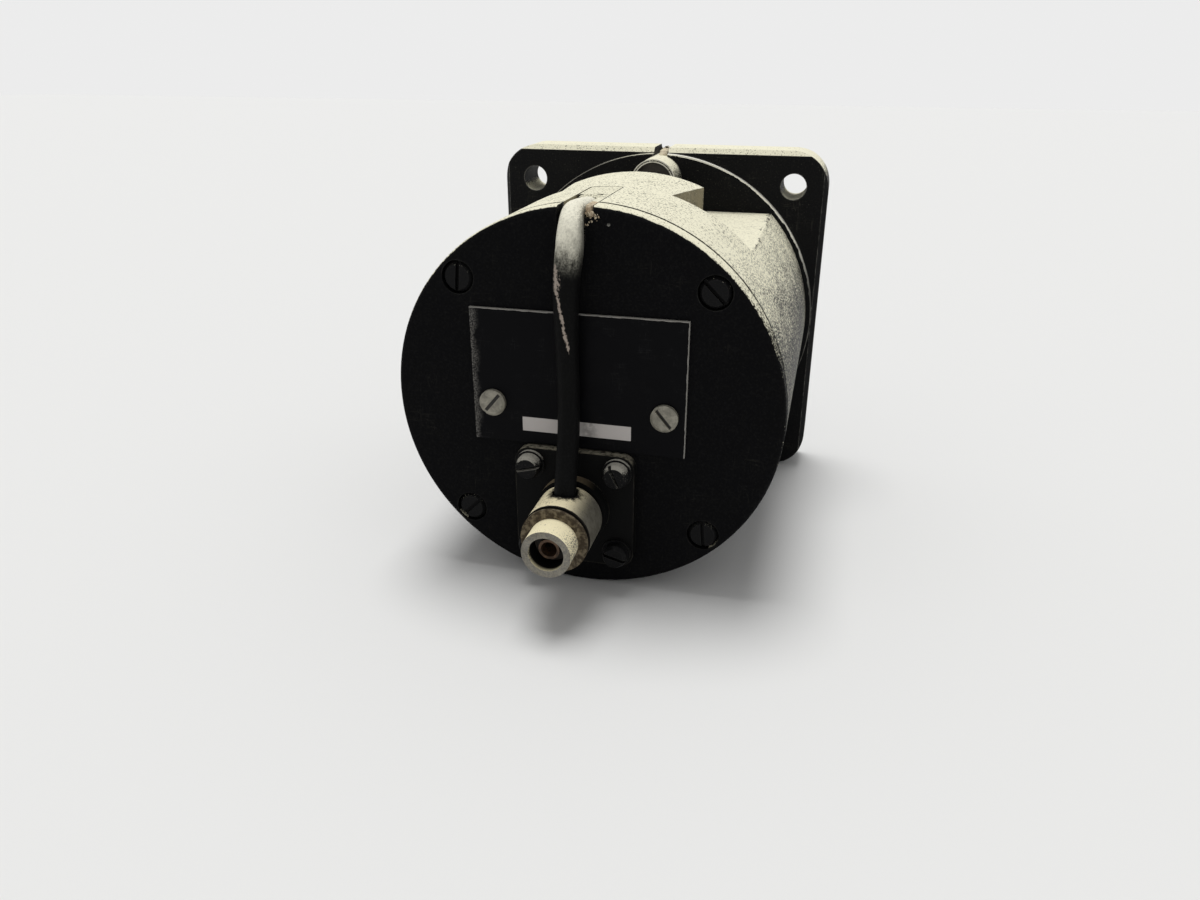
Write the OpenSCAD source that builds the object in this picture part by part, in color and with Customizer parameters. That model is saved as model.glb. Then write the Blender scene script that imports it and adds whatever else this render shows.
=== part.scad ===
// Panel-mounted aircraft standby compass, liquid filled, with a lighted card and a two-axis compensator.
// Y runs along the instrument: the window faces -Y, the rear cover faces +Y, and Z is up.
// The origin is the centre of the bolt pattern on the rear face of the bezel, where it meets the panel.

/* [Panel bezel] */
// Width and height of the square bezel
bezel_w = 59; // [57:0.5:64]
// Corner radius of the bezel
bezel_corner_r = 6.4; // [4:0.1:8]
// Thickness of the bezel plate
bezel_t = 8; // [7.4:0.1:11]
// Edge chamfer of the bezel
bezel_chamfer = 0.8; // [0.3:0.1:1.2]
// Spacing of the four mounting holes
mount_pitch = 47.14; // [46:0.02:48]
// Radius of a mounting hole
mount_hole_r = 2.2; // [1.8:0.05:2.6]
// Radius of the spigot that enters the panel hole
spigot_r = 28.575; // [28:0.005:29]
// Height of the spigot above the rear face
spigot_h = 1; // [0.6:0.1:1.6]
// Width of the notch in the top edge
notch_w = 2.6; // [1.6:0.1:4]

/* [Window] */
// Width of the lens
lens_w = 40; // [36:0.5:41]
// Height of the lens
lens_h = 25; // [22:0.5:26]
// Corner radius of the lens
lens_corner_r = 4; // [2:0.1:6]
// Thickness of the lens
lens_t = 2.5; // [1.8:0.1:3]
// Height of the window centre above the instrument axis
window_z = 1; // [0:0.1:1.5]
// Width of the lip that the lens bears on
lens_lip = 2; // [1.4:0.1:3]
// Thickness of the gasket in front of the lens
lens_gasket_t = 0.8; // [0.5:0.1:1.2]
// Width of the lubber line
lubber_w = 0.8; // [0.5:0.1:1.4]

/* [Lamp] */
// Outer radius of the lamp tube
lamp_tube_r = 3.9; // [3.5:0.05:4.2]
// Wall of the lamp tube
lamp_tube_wall = 0.55; // [0.4:0.05:0.8]
// Height of the lamp tube axis
lamp_z = 24.4; // [24:0.1:24.8]
// Length of the tube behind the bezel
lamp_tube_out = 7; // [5.5:0.1:9]
// Radius of the lamp cap
lamp_cap_r = 4.6; // [4.3:0.1:5]
// Radius of the light port between lamp and window
light_port_r = 1.2; // [0.8:0.1:1.5]

/* [Case] */
// Outer radius of the case
case_r = 27.7; // [27.4:0.1:28.2]
// Wall of the case
case_wall = 2.7; // [2.4:0.1:3]
// Length of the case
case_len = 48.5; // [47.5:0.5:54]
// Height of the flat shelf cut in the top
shelf_z = 19; // [18.5:0.1:19.6]
// Distance from the rear of the case to the back wall of the shelf
shelf_back = 15.5; // [14:0.1:16.5]
// Half width of the block at its front end
block_front_w = 10.6; // [8.5:0.1:12]
// Half width of the block at its rear end
block_rear_w = 8; // [7:0.1:10]
// Length of the block
block_len = 15; // [12:0.1:18]
// Thickness of the roof, floor and front wall of the bowl
bowl_wall = 2.5; // [2:0.1:3]

/* [Rear cover] */
// Thickness of the cover
cover_t = 3; // [2.6:0.1:4]
// Thickness of the gasket under it
rear_gasket_t = 0.5; // [0.3:0.1:0.9]
// Rounding of the cover edge
cover_edge = 0.7; // [0.3:0.1:1]
// Half spacing of the four cover screws
cover_screw_at = 17.5; // [17.2:0.05:17.7]
// Radius of a cover screw head
cover_head_r = 2.1; // [1.9:0.05:2.3]

/* [Nameplate] */
// Width of the plate
plate_w = 30.4; // [28:0.1:32]
// Height of the plate
plate_h = 19.3; // [17:0.1:19.5]
// Thickness of the plate
plate_t = 0.5; // [0.3:0.05:0.7]
// Sideways place of the plate
plate_x = 0.7; // [-0.5:0.1:1.5]
// Height of the plate centre
plate_z = 4; // [3.9:0.1:5]
// Spacing of the plate screws
plate_screw_pitch = 24.6; // [22:0.1:26]
// Radius of a plate screw head
plate_head_r = 1.9; // [1.5:0.05:2.1]

/* [Lighting connector] */
// Width of the square connector flange
conn_w = 17.5; // [16.5:0.1:18]
// Thickness of the flange
conn_t = 1.6; // [1.2:0.1:2]
// Spacing of the flange screws
conn_pitch = 12.7; // [12.2:0.05:13]
// Sideways place of the connector axis
conn_x = 1; // [0.6:0.1:1.4]
// Height of the connector axis
conn_z = -14.7; // [-15:0.1:-14.6]
// Radius of the collar on the flange
conn_collar_r = 5.15; // [5:0.05:5.4]
// Radius of the sleeve
conn_sleeve_r = 4.75; // [4.5:0.05:4.9]
// Length of the sleeve
conn_sleeve_len = 7.6; // [6.5:0.1:9]
// Radius of the barrel
conn_barrel_r = 3.4; // [3.2:0.05:3.6]
// Length of the barrel in front of the sleeve
conn_barrel_out = 3.7; // [3:0.1:5]
// Radius of the bore
conn_bore_r = 2.45; // [2.2:0.05:2.5]

/* [Compass card] */
// Height of the card drum
card_h = 11; // [9:0.5:11.5]
// Height of the pivot point above the middle of the card
pivot_rise = 2; // [1.5:0.1:2.4]
// Thickness of the card drum
card_t = 0.5; // [0.4:0.05:0.8]
// Outer radius of the float
float_r = 12.5; // [11:0.1:13.5]
// Radius of a card magnet
card_magnet_r = 1.2; // [0.9:0.05:1.4]
// Length of a card magnet
card_magnet_len = 17; // [14:0.5:18]
// Radius of the pivot tip
pivot_tip_r = 0.6; // [0.5:0.05:0.7]
// Radius of the jewel post
post_r = 3; // [2.8:0.05:3.1]

/* [Compensator] */
// Sideways place of the adjusters on each side of the middle
comp_x = 8; // [7.8:0.05:8.3]
// Module of the compensator gears
gear_m = 0.5; // [0.48:0.01:0.52]
// Radius of the compensator shafts
comp_shaft_r = 0.8; // [0.7:0.05:0.9]
// Radius of a compensator magnet
comp_magnet_r = 1; // [0.8:0.05:1.1]
// Radius of an adjuster head
adjuster_r = 2.1; // [1.8:0.05:2.4]

/* [Lighting lead] */
// Radius of the lead
lead_r = 1.55; // [1.4:0.05:1.6]
// Width of the slot in the case for the lead and its cement
groove_w = 4.9; // [4.7:0.05:5.2]

/* [Hidden] */
$fn = 64;

// Colours of the finishes
c_black = "#1d1d1c";
c_soft_black = "#2b2b2a";
c_rubber = "#303034";
c_nickel = "#b9b4a4";
c_brass = "#b08d3e";
c_steel = "#a3a5a8";
c_glass = "#cfe0e6";
c_white = "#ece8da";
c_ruby = "#b3203a";
c_alu = "#bfc1c4";
c_cement = "#a8977a";

// Screw head proportions: height of the straight side, radius of the crown, slot floor and slot width
head_side = 0.65;
head_crown = 0.8;
slot_floor = 0.55;
slot_w = 0.26;
shank_root = 0.1;

// Overshoot of a cut, sliding gap of a loose fit, running gap of a shaft, and gap of a seated piece
cut = 1;
loose = 0.1;
running = 0.05;
seat = 0.02;

// Planes along Y
front_y = -bezel_t;
case_y0 = spigot_h;
case_y1 = case_y0 + case_len;
cover_y0 = case_y1 + rear_gasket_t;
cover_y1 = cover_y0 + cover_t;
shelf_y1 = case_y1 - shelf_back;
block_y0 = shelf_y1 - block_len;

// Bowl
bowl_r = case_r - case_wall;
roof_z = shelf_z - bowl_wall;
front_wall_y1 = case_y0 + bowl_wall;
rear_bay_y0 = shelf_y1 + bowl_wall;
bulkhead_t = 2.5;
air_bay = 4;
bulkhead_y1 = case_y1 - air_bay;
bulkhead_y0 = bulkhead_y1 - bulkhead_t;
bulkhead_hole_r = 19.5;
diaphragm_t = 0.4;
diaphragm_r = 21.2;
diaphragm_wave = 0.9;
diaphragm_waves = 3;
diaphragm_flat = 2.5;
diaphragm_steps = 30;
diaphragm_wave_r = bulkhead_hole_r - diaphragm_flat;
clamp_rim_r = 21.4;
clamp_rim_w = 1.7;

// Compensator gears and axes
gear_teeth = 12;
addendum = 0.8;
dedendum = 1.2;
pressure_angle = 20;
spur_backlash = 1.3;
bevel_backlash = 2.4;
gear_pitch_r = gear_m * gear_teeth / 2;
gear_tip_r = gear_pitch_r + addendum * gear_m;
gear_root_r = gear_pitch_r - dedendum * gear_m;
gear_base_r = gear_pitch_r * cos(pressure_angle);
half_pitch = 180 / gear_teeth;
gear_half_tooth = half_pitch / 2 - spur_backlash;
bevel_half_tooth = half_pitch / 2 - bevel_backlash;
gear_t = 2;
comp_wall_gap = 0.98;
comp_axis_r = bowl_r - gear_tip_r - comp_wall_gap;
comp_z = -sqrt(comp_axis_r * comp_axis_r - comp_x * comp_x);
comp_sweep_r = 3.75;
comp_magnet_half = sqrt(comp_sweep_r * comp_sweep_r - comp_magnet_r * comp_magnet_r);
comp_roof_over = 4.2;
comp_roof_z = comp_z + comp_roof_over;
partition_t = 1.8;
bowl_floor_z = comp_roof_z + partition_t;
comp_plate_t = 1.2;
spur_gap = 1.2;
collar_wall = 0.9;
collar_end = 0.4;
comp_collar_r = comp_magnet_r + collar_wall;
comp_collar_half = comp_magnet_r + collar_end;
ew_follow_x = -comp_x + 2 * gear_pitch_r;
spur_y0 = case_y0 + comp_plate_t + spur_gap;
ew_collar_gap = 2.2;
ew_collar_y = spur_y0 + gear_t + ew_collar_gap + comp_collar_half;
ew_collar_step = 0.2;
ew_follow_collar_y = ew_collar_y + 2 * comp_collar_half + ew_collar_step;
mid_plate_gap = 0.6;
mid_plate_y = ew_follow_collar_y + comp_collar_half + mid_plate_gap;
bevel_face = gear_pitch_r / 2;
bevel_hub_r = 2;
pinion_hub_len = 1.6;
pinion_gap = 0.4;
wheel_hub_len = 1;
bevel_back_y = mid_plate_y + comp_plate_t + pinion_gap + pinion_hub_len;
bevel_apex_y = bevel_back_y + gear_pitch_r;
bevel_back_x = comp_x - gear_pitch_r;
ns_follow_y = bevel_apex_y + 2 * gear_pitch_r;
sweep_gap = 0.25;
comp_plate_y = [case_y0, mid_plate_y, ns_follow_y + comp_sweep_r + sweep_gap];
comp_end_gap = 1.6;
comp_y1 = comp_plate_y[2] + comp_plate_t + comp_end_gap;
comp_frame_gap = 0.5;
comp_frame_r = bowl_r - comp_frame_gap;
comp_frame_down = 3.4;
comp_frame_up = 3.2;
comp_frame_z0 = comp_z - comp_frame_down;
comp_frame_z1 = comp_z + comp_frame_up;
pillar_out = 6;
pillar_up = 2.7;
pillar_x = comp_x + pillar_out;
pillar_z = comp_z + pillar_up;
pillar_r = 1.1;
plate_ear = 2;
plate_over = 0.6;
cheek_t = 1.2;
cheek_gap = 0.2;
cheek_right_x = bevel_back_x - wheel_hub_len - cheek_gap - cheek_t;
cheek_left_out = 3;
cheek_left_x = -comp_x - cheek_left_out;
ns_spur_gap = 1.3;
ns_spur_x0 = cheek_left_x + cheek_t + ns_spur_gap;
ns_cross_collar_x = -3.5;
ns_follow_collar_x = 0;
adjuster_head_t = 3.3;
adjuster_recess = 0.4;
adjuster_slot_w = 0.6;
adjuster_slot_d = 1;
comp_screw_head_r = 1.6;
comp_screw_head_t = 1.1;
comp_screw_r = 0.7;
comp_screw_depth = 7;
comp_screw_seat_y = front_y + adjuster_recess + comp_screw_head_t;

// Window and lens
lens_y1 = 0;
lens_y0 = lens_y1 - lens_t;
gasket_y0 = lens_y0 - lens_gasket_t;
pocket_w = lens_w + 2 * loose;
pocket_h = lens_h + 2 * loose;
window_w = lens_w - 2 * lens_lip;
window_h = lens_h - 2 * lens_lip;
window_corner_r = lens_corner_r - lens_lip / 2;
flare = 2.2;
flare_lap = 0.3;
flare_skin = 0.01;
flare_facets = 32;
lubber_t = 0.4;

// Bezel screws, which hold the case to the bezel
bezel_screw_at = [[23.2, 9], [21.6, -12.4], [-23.2, 9], [-21.6, -12.4]];
bezel_screw_r = 1.2;
bezel_screw_head_r = 2.1;
bezel_screw_head_t = 1.6;
bezel_screw_depth = 8;
bezel_boss_r = 2.4;
bezel_boss_len = 9;
bezel_screw_seat_y = front_y + adjuster_recess + bezel_screw_head_t;

// Lamp pieces inside the tube
lamp_bore_r = lamp_tube_r - lamp_tube_wall;
lamp_cap_t = 1.6;
lamp_cap_edge = 0.5;
lamp_slot_w = 1;
lamp_slot_d = 0.9;
knurl_count = 24;
knurl_r = 0.4;
knurl_out = 0.15;
lamp_cap_y0 = front_y - lamp_cap_t;
lamp_plug_t = 2.4;
lamp_gap = 0.4;
light_port_y = (front_y + gasket_y0) / 2;
lamp_bulb_r = 2.2;
lamp_bulb_y0 = front_y + lamp_plug_t + lamp_gap;
lamp_base_r = 2.6;
lamp_bulb_len = 5;
lamp_base_len = 3.2;
lamp_socket_back = 1.5;
lamp_base_y0 = lamp_bulb_y0 + lamp_bulb_len;
lamp_base_y1 = lamp_base_y0 + lamp_base_len;
lamp_socket_y1 = lamp_tube_out - lamp_socket_back;

// Filler plug on the far side of the shelf
filler_x = 14;
filler_back = 13;
filler_y = case_y0 + filler_back;
filler_r = 1.6;
filler_head_r = 2.9;
filler_head_t = 1.8;
filler_washer_t = 0.5;
filler_washer_rim = 0.3;

// Cover screws
cover_screw_r = 1.4;
cover_head_t = 1.7;
cover_sink = 1.6;
cover_bore_gap = 0.2;
cover_inset = 0.2;
cover_slot_turn = [65, 20];
edge_steps = 6;
lug_r = 3;
lug_len = 11;
cover_screw_len = 9;
cover_shank = cover_screw_len - cover_sink - rear_gasket_t;

// Plate and connector details
plate_screw_drop = 3.9;
plate_screw_z = plate_z - plate_screw_drop;
plate_screw_r = 0.8;
plate_screw_len = 2.6;
plate_head_t = 0.9;
plate_slot_turn = 50;
conn_corner_r = 2.2;
conn_collar_len = 1.8;
conn_neck_len = 0.6;
conn_neck_step = 0.2;
conn_neck_r = conn_barrel_r - conn_neck_step;
conn_y1 = cover_y1 + conn_t;
conn_sleeve_y0 = conn_y1 + conn_collar_len + conn_neck_len;
conn_sleeve_y1 = conn_sleeve_y0 + conn_sleeve_len;
conn_end_y = conn_sleeve_y1 + conn_barrel_out;
conn_sleeve_lip = 0.45;
conn_sleeve_groove = 0.3;
conn_sleeve_bead = 0.05;
conn_slot_turn = [40, -25];
conn_bore_depth = 7;
conn_bore_y0 = conn_end_y - conn_bore_depth;
insulator_t = 4;
contact_r = 1.45;
contact_bore_r = 1.1;
contact_back = 1.5;
conn_screw_r = 1;
conn_head_r = 1.8;
conn_head_t = 1.7;
conn_screw_len = 3.6;
washer_r = 2.1;
washer_t = 0.5;

// Card and pivot
swing_gap = 0.1;
card_y = (case_y0 + bulkhead_y0) / 2;
card_drop = pivot_rise + card_h / 2;
card_reach = (bulkhead_y0 - case_y0) / 2 - swing_gap;
card_wall_gap = 4;
card_r = min(sqrt(card_reach * card_reach - card_drop * card_drop), bowl_r - card_wall_gap);
card_z0 = -card_h / 2;
float_wall = 0.5;
float_top = 5.2;
float_rim = 1;
float_floor = -3;
float_boss_r = 2.2;
float_hole_r = 5.6;
float_lip_w = 0.7;
float_boss_flare = 0.4;
pin_r = 0.9;
pin_top = 7;
pin_cone_top = 2.2;
pin_cone_r = 0.38;
pin_start = 0.55;
pin_point = 0.3;
spoke_count = 6;
spoke_w = 2;
spoke_t = 0.8;
card_ring_w = 2;
clip_t = 0.6;
clip_inset = 0.3;
clip_hole_rim = 0.8;
card_magnet_x = 9;
saddle_len = 5;
saddle_wall = 0.6;
saddle_half = card_magnet_r + saddle_wall;
saddle_z0 = float_floor - clip_t - 2 * card_magnet_r - saddle_wall;
jewel_r = 1.4;
jewel_h = 1.45;
jewel_top = -0.15;
holder_r = 2;
holder_h = 4;
holder_below = 0.25;
post_top = -1.5;
post_foot_r = 6;
post_foot_t = 1.2;
spring_r = 1.45;
spring_wire_r = 0.22;
spring_turns = 6;
spring_h = 6;

// Lead route from the lamp socket to the connector sleeve: each row is a step from one of five places,
// which are the socket, the block, the rear rim of the case, the cover and the connector, and then how much
// thicker the lead is there
lead_x = 1.5;
lead_sunk = 1.35;
lead_deep = 3.3;
lead_plug_in = 2;
lead_sides = 8;
lead_place = [
    [0, lamp_socket_y1, lamp_z], [lead_x, shelf_y1, case_r - lead_deep], [lead_x, case_y1, case_r - lead_sunk],
    [lead_x, cover_y1, case_r - lead_sunk], [conn_x, conn_sleeve_y0 + lead_plug_in, conn_z]
];
lead_rows = [
    [0, [0, 0, 0], 0], [0, [0, 3.5, 0], 0], [0, [0.4, 7.5, 0], 0],
    [1, [-0.6, -16.5, 0], 0], [1, [-0.5, -13, 0], 0], [1, [-0.4, -8.5, 0], 0],
    [1, [-0.3, -4, 0], 0], [2, [0, 0, 0], 0], [3, [0, -1.6, 0], 0],
    [3, [-0.2, 0, -0.5], 0.05], [3, [-0.4, 1.25, -1.45], 0.15], [3, [-0.5, 1.95, -2.65], 0.25],
    [3, [-0.45, 2.25, -4.35], 0.3], [3, [-0.05, 2.4, -8.35], 0.25], [3, [0.05, 2.4, -13.35], 0.1],
    [4, [0.5, -3.7, 22.7], 0], [4, [0.4, -3.8, 17.7], 0], [4, [0.35, -3.5, 13.7], 0],
    [4, [0.3, -2.6, 10.2], 0], [4, [0.15, -1.3, 7.5], 0], [4, [0, -0.2, 5.6], 0], [4, [0, 0, 3.6], 0]
];
lead_route = [for (row = lead_rows) lead_place[row[0]] + row[1]];
lead_girth = [for (row = lead_rows) lead_r + row[2]];
lead_end = lead_route[len(lead_route) - 1];

// The lead's way through the case: a level bore, a bore that slopes up to the rear rim and a slot over it
lead_clear = 0.1;
lead_bend_room = 0.1;
lead_entry_r = lead_r + lead_clear + lead_bend_room;
tunnel_clear = 0.15;
tunnel_elbow = 0.1;
tunnel_run = 0.6;
tunnel_lead = 4;
tunnel_row = 3;
bend_row = 6;
rim_row = 7;
tunnel_r = lead_r + tunnel_clear;
tunnel = [
    [lead_route[tunnel_row][0], block_y0 - tunnel_lead, lead_route[tunnel_row][2]],
    lead_route[bend_row],
    lead_route[rim_row] + cut * unit(lead_route[rim_row] - lead_route[bend_row])
];
groove_front = 1.8;
groove_side = 0.3;
groove_y0 = shelf_y1 + groove_front;
groove_x1 = lead_x + lead_r + groove_side;
groove_x0 = groove_x1 - groove_w;
groove_floor = lead_route[rim_row][2] - lead_r - lead_clear;
groove_wall = 1.4;
groove_under = 2.4;
cement_gap = 0.2;
cement_room = 0.9;
cement_x0 = groove_x0 + cement_gap;
cement_w = groove_w - 2 * lead_r - cement_room;
cement_sink = 0.05;
cement_short = 0.6;
cement_facets = 256;
cement_cap_t = 1.2;
cement_cap_w = groove_w - 2 * cement_gap;
cement_cap_len = 7.2;
notch_x0 = cement_x0 + cement_w;
notch_step = 1.4;
notch_drop = 1.5;

// A cylinder along Y
module y_cyl(r, y0, y1) {
    translate([0, y0, 0]) rotate([-90, 0, 0]) cylinder(r = r, h = y1 - y0);
}

// A cylinder along X
module x_cyl(r, x0, x1) {
    translate([x0, 0, 0]) rotate([0, 90, 0]) cylinder(r = r, h = x1 - x0);
}

// A flat outline in X and Z, carried along Y
module xz_plate(y0, y1) {
    translate([0, y1, 0]) rotate([90, 0, 0]) linear_extrude(y1 - y0) children();
}

// A profile of radius and height turned about the Y axis
module y_turn() {
    rotate([-90, 0, 0]) rotate_extrude() children();
}

// A rectangle with round corners
module round_rect(w, h, r) {
    square([w - 2 * r, h], center = true);
    square([w, h - 2 * r], center = true);
    for (sx = [-1, 1], sz = [-1, 1]) translate([sx * (w / 2 - r), sz * (h / 2 - r)]) circle(r);
}

// A round rod between two points
module rod(p, q, r) {
    d = q - p;
    translate(p) rotate([0, acos(d[2] / norm(d)), atan2(d[1], d[0])]) cylinder(r = r, h = norm(d));
}

// A slotted screw whose head stands on y = 0 and faces +Y
module slotted_screw(head_r, head_t, shank_r, shank_len) {
    difference() {
        union() {
            y_turn() polygon([
                [0, 0], [head_r, 0], [head_r, head_side * head_t],
                [head_crown * head_r, head_t], [0, head_t]
            ]);
            y_cyl(shank_r, -shank_len, shank_root * head_t);
        }
        translate([-head_r, slot_floor * head_t, -slot_w * head_r / 2])
            cube([2 * head_r, head_t, slot_w * head_r]);
    }
}

// Gear outline: involute flanks from the base circle to the tip, radial below it
function roll(r, rb) = r <= rb ? 0 : sqrt(r * r / (rb * rb) - 1) * 180 / PI - acos(rb / r);
function flank(r, half) = half + roll(gear_pitch_r, gear_base_r) - roll(r, gear_base_r);
function polar(r, a) = [r * cos(a), r * sin(a)];
function gear_outline(half) = let (
    steps = [gear_root_r, gear_base_r, (gear_base_r + gear_tip_r) / 2, gear_tip_r]
) [
    for (k = [0 : gear_teeth - 1]) let (mid = 360 * k / gear_teeth) each concat(
        [for (r = steps) polar(r, mid - flank(r, half))],
        [for (i = [3 : -1 : 0]) polar(steps[i], mid + flank(steps[i], half))]
    )
];

// A spur gear standing on z = 0, and a bevel gear with its large end on z = 0
module spur_gear(phase) {
    difference() {
        rotate(phase) linear_extrude(gear_t) polygon(gear_outline(gear_half_tooth));
        translate([0, 0, -cut]) cylinder(r = comp_shaft_r + seat, h = gear_t + 2 * cut);
    }
}

module bevel_gear(phase, hub_len) {
    difference() {
        union() {
            rotate(phase) linear_extrude(bevel_face, scale = 1 - bevel_face / gear_pitch_r)
                polygon(gear_outline(bevel_half_tooth));
            translate([0, 0, -hub_len]) cylinder(r = bevel_hub_r, h = hub_len);
        }
        translate([0, 0, -hub_len - cut])
            cylinder(r = comp_shaft_r + seat, h = hub_len + bevel_face + 2 * cut);
    }
}

// A triangle tube swept along a list of points that stays near one plane across X
function unit(v) = v / norm(v);
function heading(p, i) = unit(p[min(i + 1, len(p) - 1)] - p[max(i - 1, 0)]);
function ring_at(c, t, r, n) = let (a = unit(cross(t, [1, 0, 0])), b = cross(t, a))
    [for (k = [0 : n - 1]) c + r * (cos(360 * k / n) * a + sin(360 * k / n) * b)];

module swept_rings(rings, m, n) {
    sides = [
        for (i = [0 : m - 2], k = [0 : n - 1]) let (
            a = i * n + k,
            b = i * n + (k + 1) % n
        ) each [[a, a + n, b], [b, a + n, b + n]]
    ];
    caps = [
        for (k = [1 : n - 2]) each [
            [0, k, k + 1],
            [(m - 1) * n, (m - 1) * n + k + 1, (m - 1) * n + k]
        ]
    ];
    polyhedron(rings, concat(sides, caps));
}

module swept_tube(p, r, n) {
    swept_rings([for (i = [0 : len(p) - 1]) each ring_at(p[i], heading(p, i), r[i], n)], len(p), n);
}

// Front bezel: chamfered square plate with spigot, lens pocket, flared window and all front holes
module bezel_section() {
    h = bezel_w / 2;
    c = bezel_chamfer;
    polygon([
        [front_y, c - h], [front_y + c, -h], [-c, -h], [0, c - h],
        [0, h - c], [-c, h], [front_y + c, h], [front_y, h - c]
    ]);
}

// The flared mouth of the window: one outline drawn into the next, at 45 degrees
module flare_outline(y, out) {
    xz_plate(y - flare_skin, y)
        round_rect(window_w + 2 * out, window_h + 2 * out, window_corner_r + out, $fn = flare_facets);
}

module window_flare() {
    translate([0, 0, window_z]) hull() {
        flare_outline(front_y - cut, flare + cut);
        flare_outline(front_y + flare + flare_lap, -flare_lap);
    }
}

module front_bezel() {
    color(c_black) difference() {
        union() {
            intersection() {
                xz_plate(front_y, 0) round_rect(bezel_w, bezel_w, bezel_corner_r);
                rotate([90, 0, 90]) linear_extrude(bezel_w + cut, center = true) bezel_section();
                linear_extrude(bezel_w + cut, center = true) rotate(90) mirror([0, 1]) bezel_section();
            }
            y_cyl(spigot_r, front_y + flare, spigot_h);
        }
        for (sx = [-1, 1], sz = [-1, 1]) translate([sx * mount_pitch / 2, 0, sz * mount_pitch / 2])
            y_cyl(mount_hole_r, front_y - cut, spigot_h + cut);
        translate([0, 0, lamp_z]) y_cyl(lamp_tube_r + seat, front_y - cut, spigot_h + cut);
        translate([-notch_w / 2, front_y - cut, lamp_z])
            cube([notch_w, bezel_t + spigot_h + 2 * cut, bezel_w]);
        translate([0, light_port_y, 0]) cylinder(r = light_port_r, h = lamp_z);
        translate([0, 0, window_z]) {
            xz_plate(gasket_y0, spigot_h + cut) round_rect(pocket_w, pocket_h, lens_corner_r);
            xz_plate(front_y - cut, spigot_h) round_rect(window_w, window_h, window_corner_r);
        }
        window_flare();
        for (s = [-1, 1]) translate([s * comp_x, 0, comp_z]) {
            y_cyl(adjuster_r + running, front_y - cut, front_y + adjuster_recess + adjuster_head_t + loose);
            y_cyl(comp_shaft_r + running, front_y, spigot_h + cut);
        }
        for (s = [-1, 1]) translate([s * pillar_x, 0, pillar_z]) {
            y_cyl(comp_screw_head_r + loose, front_y - cut, comp_screw_seat_y);
            y_cyl(comp_screw_r + loose, front_y, spigot_h + cut);
        }
        for (p = bezel_screw_at) translate([p[0], 0, p[1]]) {
            y_cyl(bezel_screw_head_r + loose, front_y - cut, bezel_screw_seat_y);
            y_cyl(bezel_screw_r + loose, front_y, spigot_h + cut);
        }
    }
}

// Rubber frames in front of and behind the lens
module lens_frame(y0, y1) {
    translate([0, 0, window_z]) xz_plate(y0, y1) difference() {
        round_rect(lens_w, lens_h, lens_corner_r);
        round_rect(window_w, window_h, window_corner_r);
    }
}

module lens_gasket() {
    color(c_rubber) lens_frame(gasket_y0, lens_y0);
}

module lens_seal() {
    color(c_rubber) lens_frame(lens_y1, case_y0);
}

module lens() {
    color(c_glass, 0.5) translate([0, 0, window_z])
        xz_plate(lens_y0, lens_y1) round_rect(lens_w, lens_h, lens_corner_r);
}

module lubber_line() {
    color(c_white) translate([-lubber_w / 2, lens_y1, window_z - window_h / 2 + loose])
        cube([lubber_w, lubber_t, window_h - 2 * loose]);
}

module bezel_screws() {
    color(c_soft_black) for (p = bezel_screw_at)
        translate([p[0], bezel_screw_seat_y, p[1]]) rotate([0, 0, 180])
            slotted_screw(bezel_screw_head_r, bezel_screw_head_t, bezel_screw_r,
                case_y0 + bezel_screw_depth - bezel_screw_seat_y);
}

// Lamp: tube, screw cap, bulb, base and rear socket
module lamp_tube() {
    color(c_black) translate([0, 0, lamp_z]) difference() {
        y_cyl(lamp_tube_r, front_y, lamp_tube_out);
        y_cyl(lamp_bore_r, front_y - cut, lamp_tube_out + cut);
        translate([0, light_port_y, -lamp_tube_r - cut])
            cylinder(r = light_port_r, h = lamp_tube_r + cut);
    }
}

module lamp_cap() {
    color(c_soft_black) translate([0, 0, lamp_z]) difference() {
        union() {
            y_turn() polygon([
                [0, lamp_cap_y0], [lamp_cap_r - lamp_cap_edge, lamp_cap_y0],
                [lamp_cap_r, lamp_cap_y0 + lamp_cap_edge], [lamp_cap_r, front_y], [0, front_y]
            ]);
            y_cyl(lamp_bore_r - running, front_y - lamp_cap_t / 2, front_y + lamp_plug_t);
        }
        translate([-lamp_cap_r, lamp_cap_y0 - cut, -lamp_slot_w / 2])
            cube([2 * lamp_cap_r, cut + lamp_slot_d, lamp_slot_w]);
        for (k = [0 : knurl_count - 1]) rotate([0, 360 * k / knurl_count, 0])
            translate([lamp_cap_r + knurl_out, 0, 0]) y_cyl(knurl_r, lamp_cap_y0 - cut, front_y + seat);
    }
}

module lamp_bulb() {
    color(c_glass, 0.6) translate([0, 0, lamp_z]) {
        translate([0, lamp_bulb_y0 + lamp_bulb_r, 0]) sphere(lamp_bulb_r);
        y_cyl(lamp_bulb_r, lamp_bulb_y0 + lamp_bulb_r, lamp_base_y0);
    }
}

module lamp_base() {
    color(c_brass) translate([0, 0, lamp_z]) y_cyl(lamp_base_r, lamp_base_y0, lamp_base_y1);
}

module lamp_socket() {
    color(c_soft_black) translate([0, 0, lamp_z]) y_cyl(lamp_bore_r - seat, lamp_base_y1, lamp_socket_y1);
}

// Case: cylinder with a flat shelf, a block on it, a bowl, a dry compensator bay and a rear bulkhead
module block_plan() {
    polygon([
        [-block_front_w, block_y0], [block_front_w, block_y0],
        [block_rear_w, shelf_y1 + cut], [-block_rear_w, shelf_y1 + cut]
    ]);
}

module shelf_cut() {
    difference() {
        translate([-case_r - cut, case_y0 - cut, shelf_z])
            cube([2 * case_r + 2 * cut, shelf_y1 - case_y0 + cut, case_r]);
        translate([0, 0, shelf_z - cut]) linear_extrude(case_r + 2 * cut) block_plan();
    }
}

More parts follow.
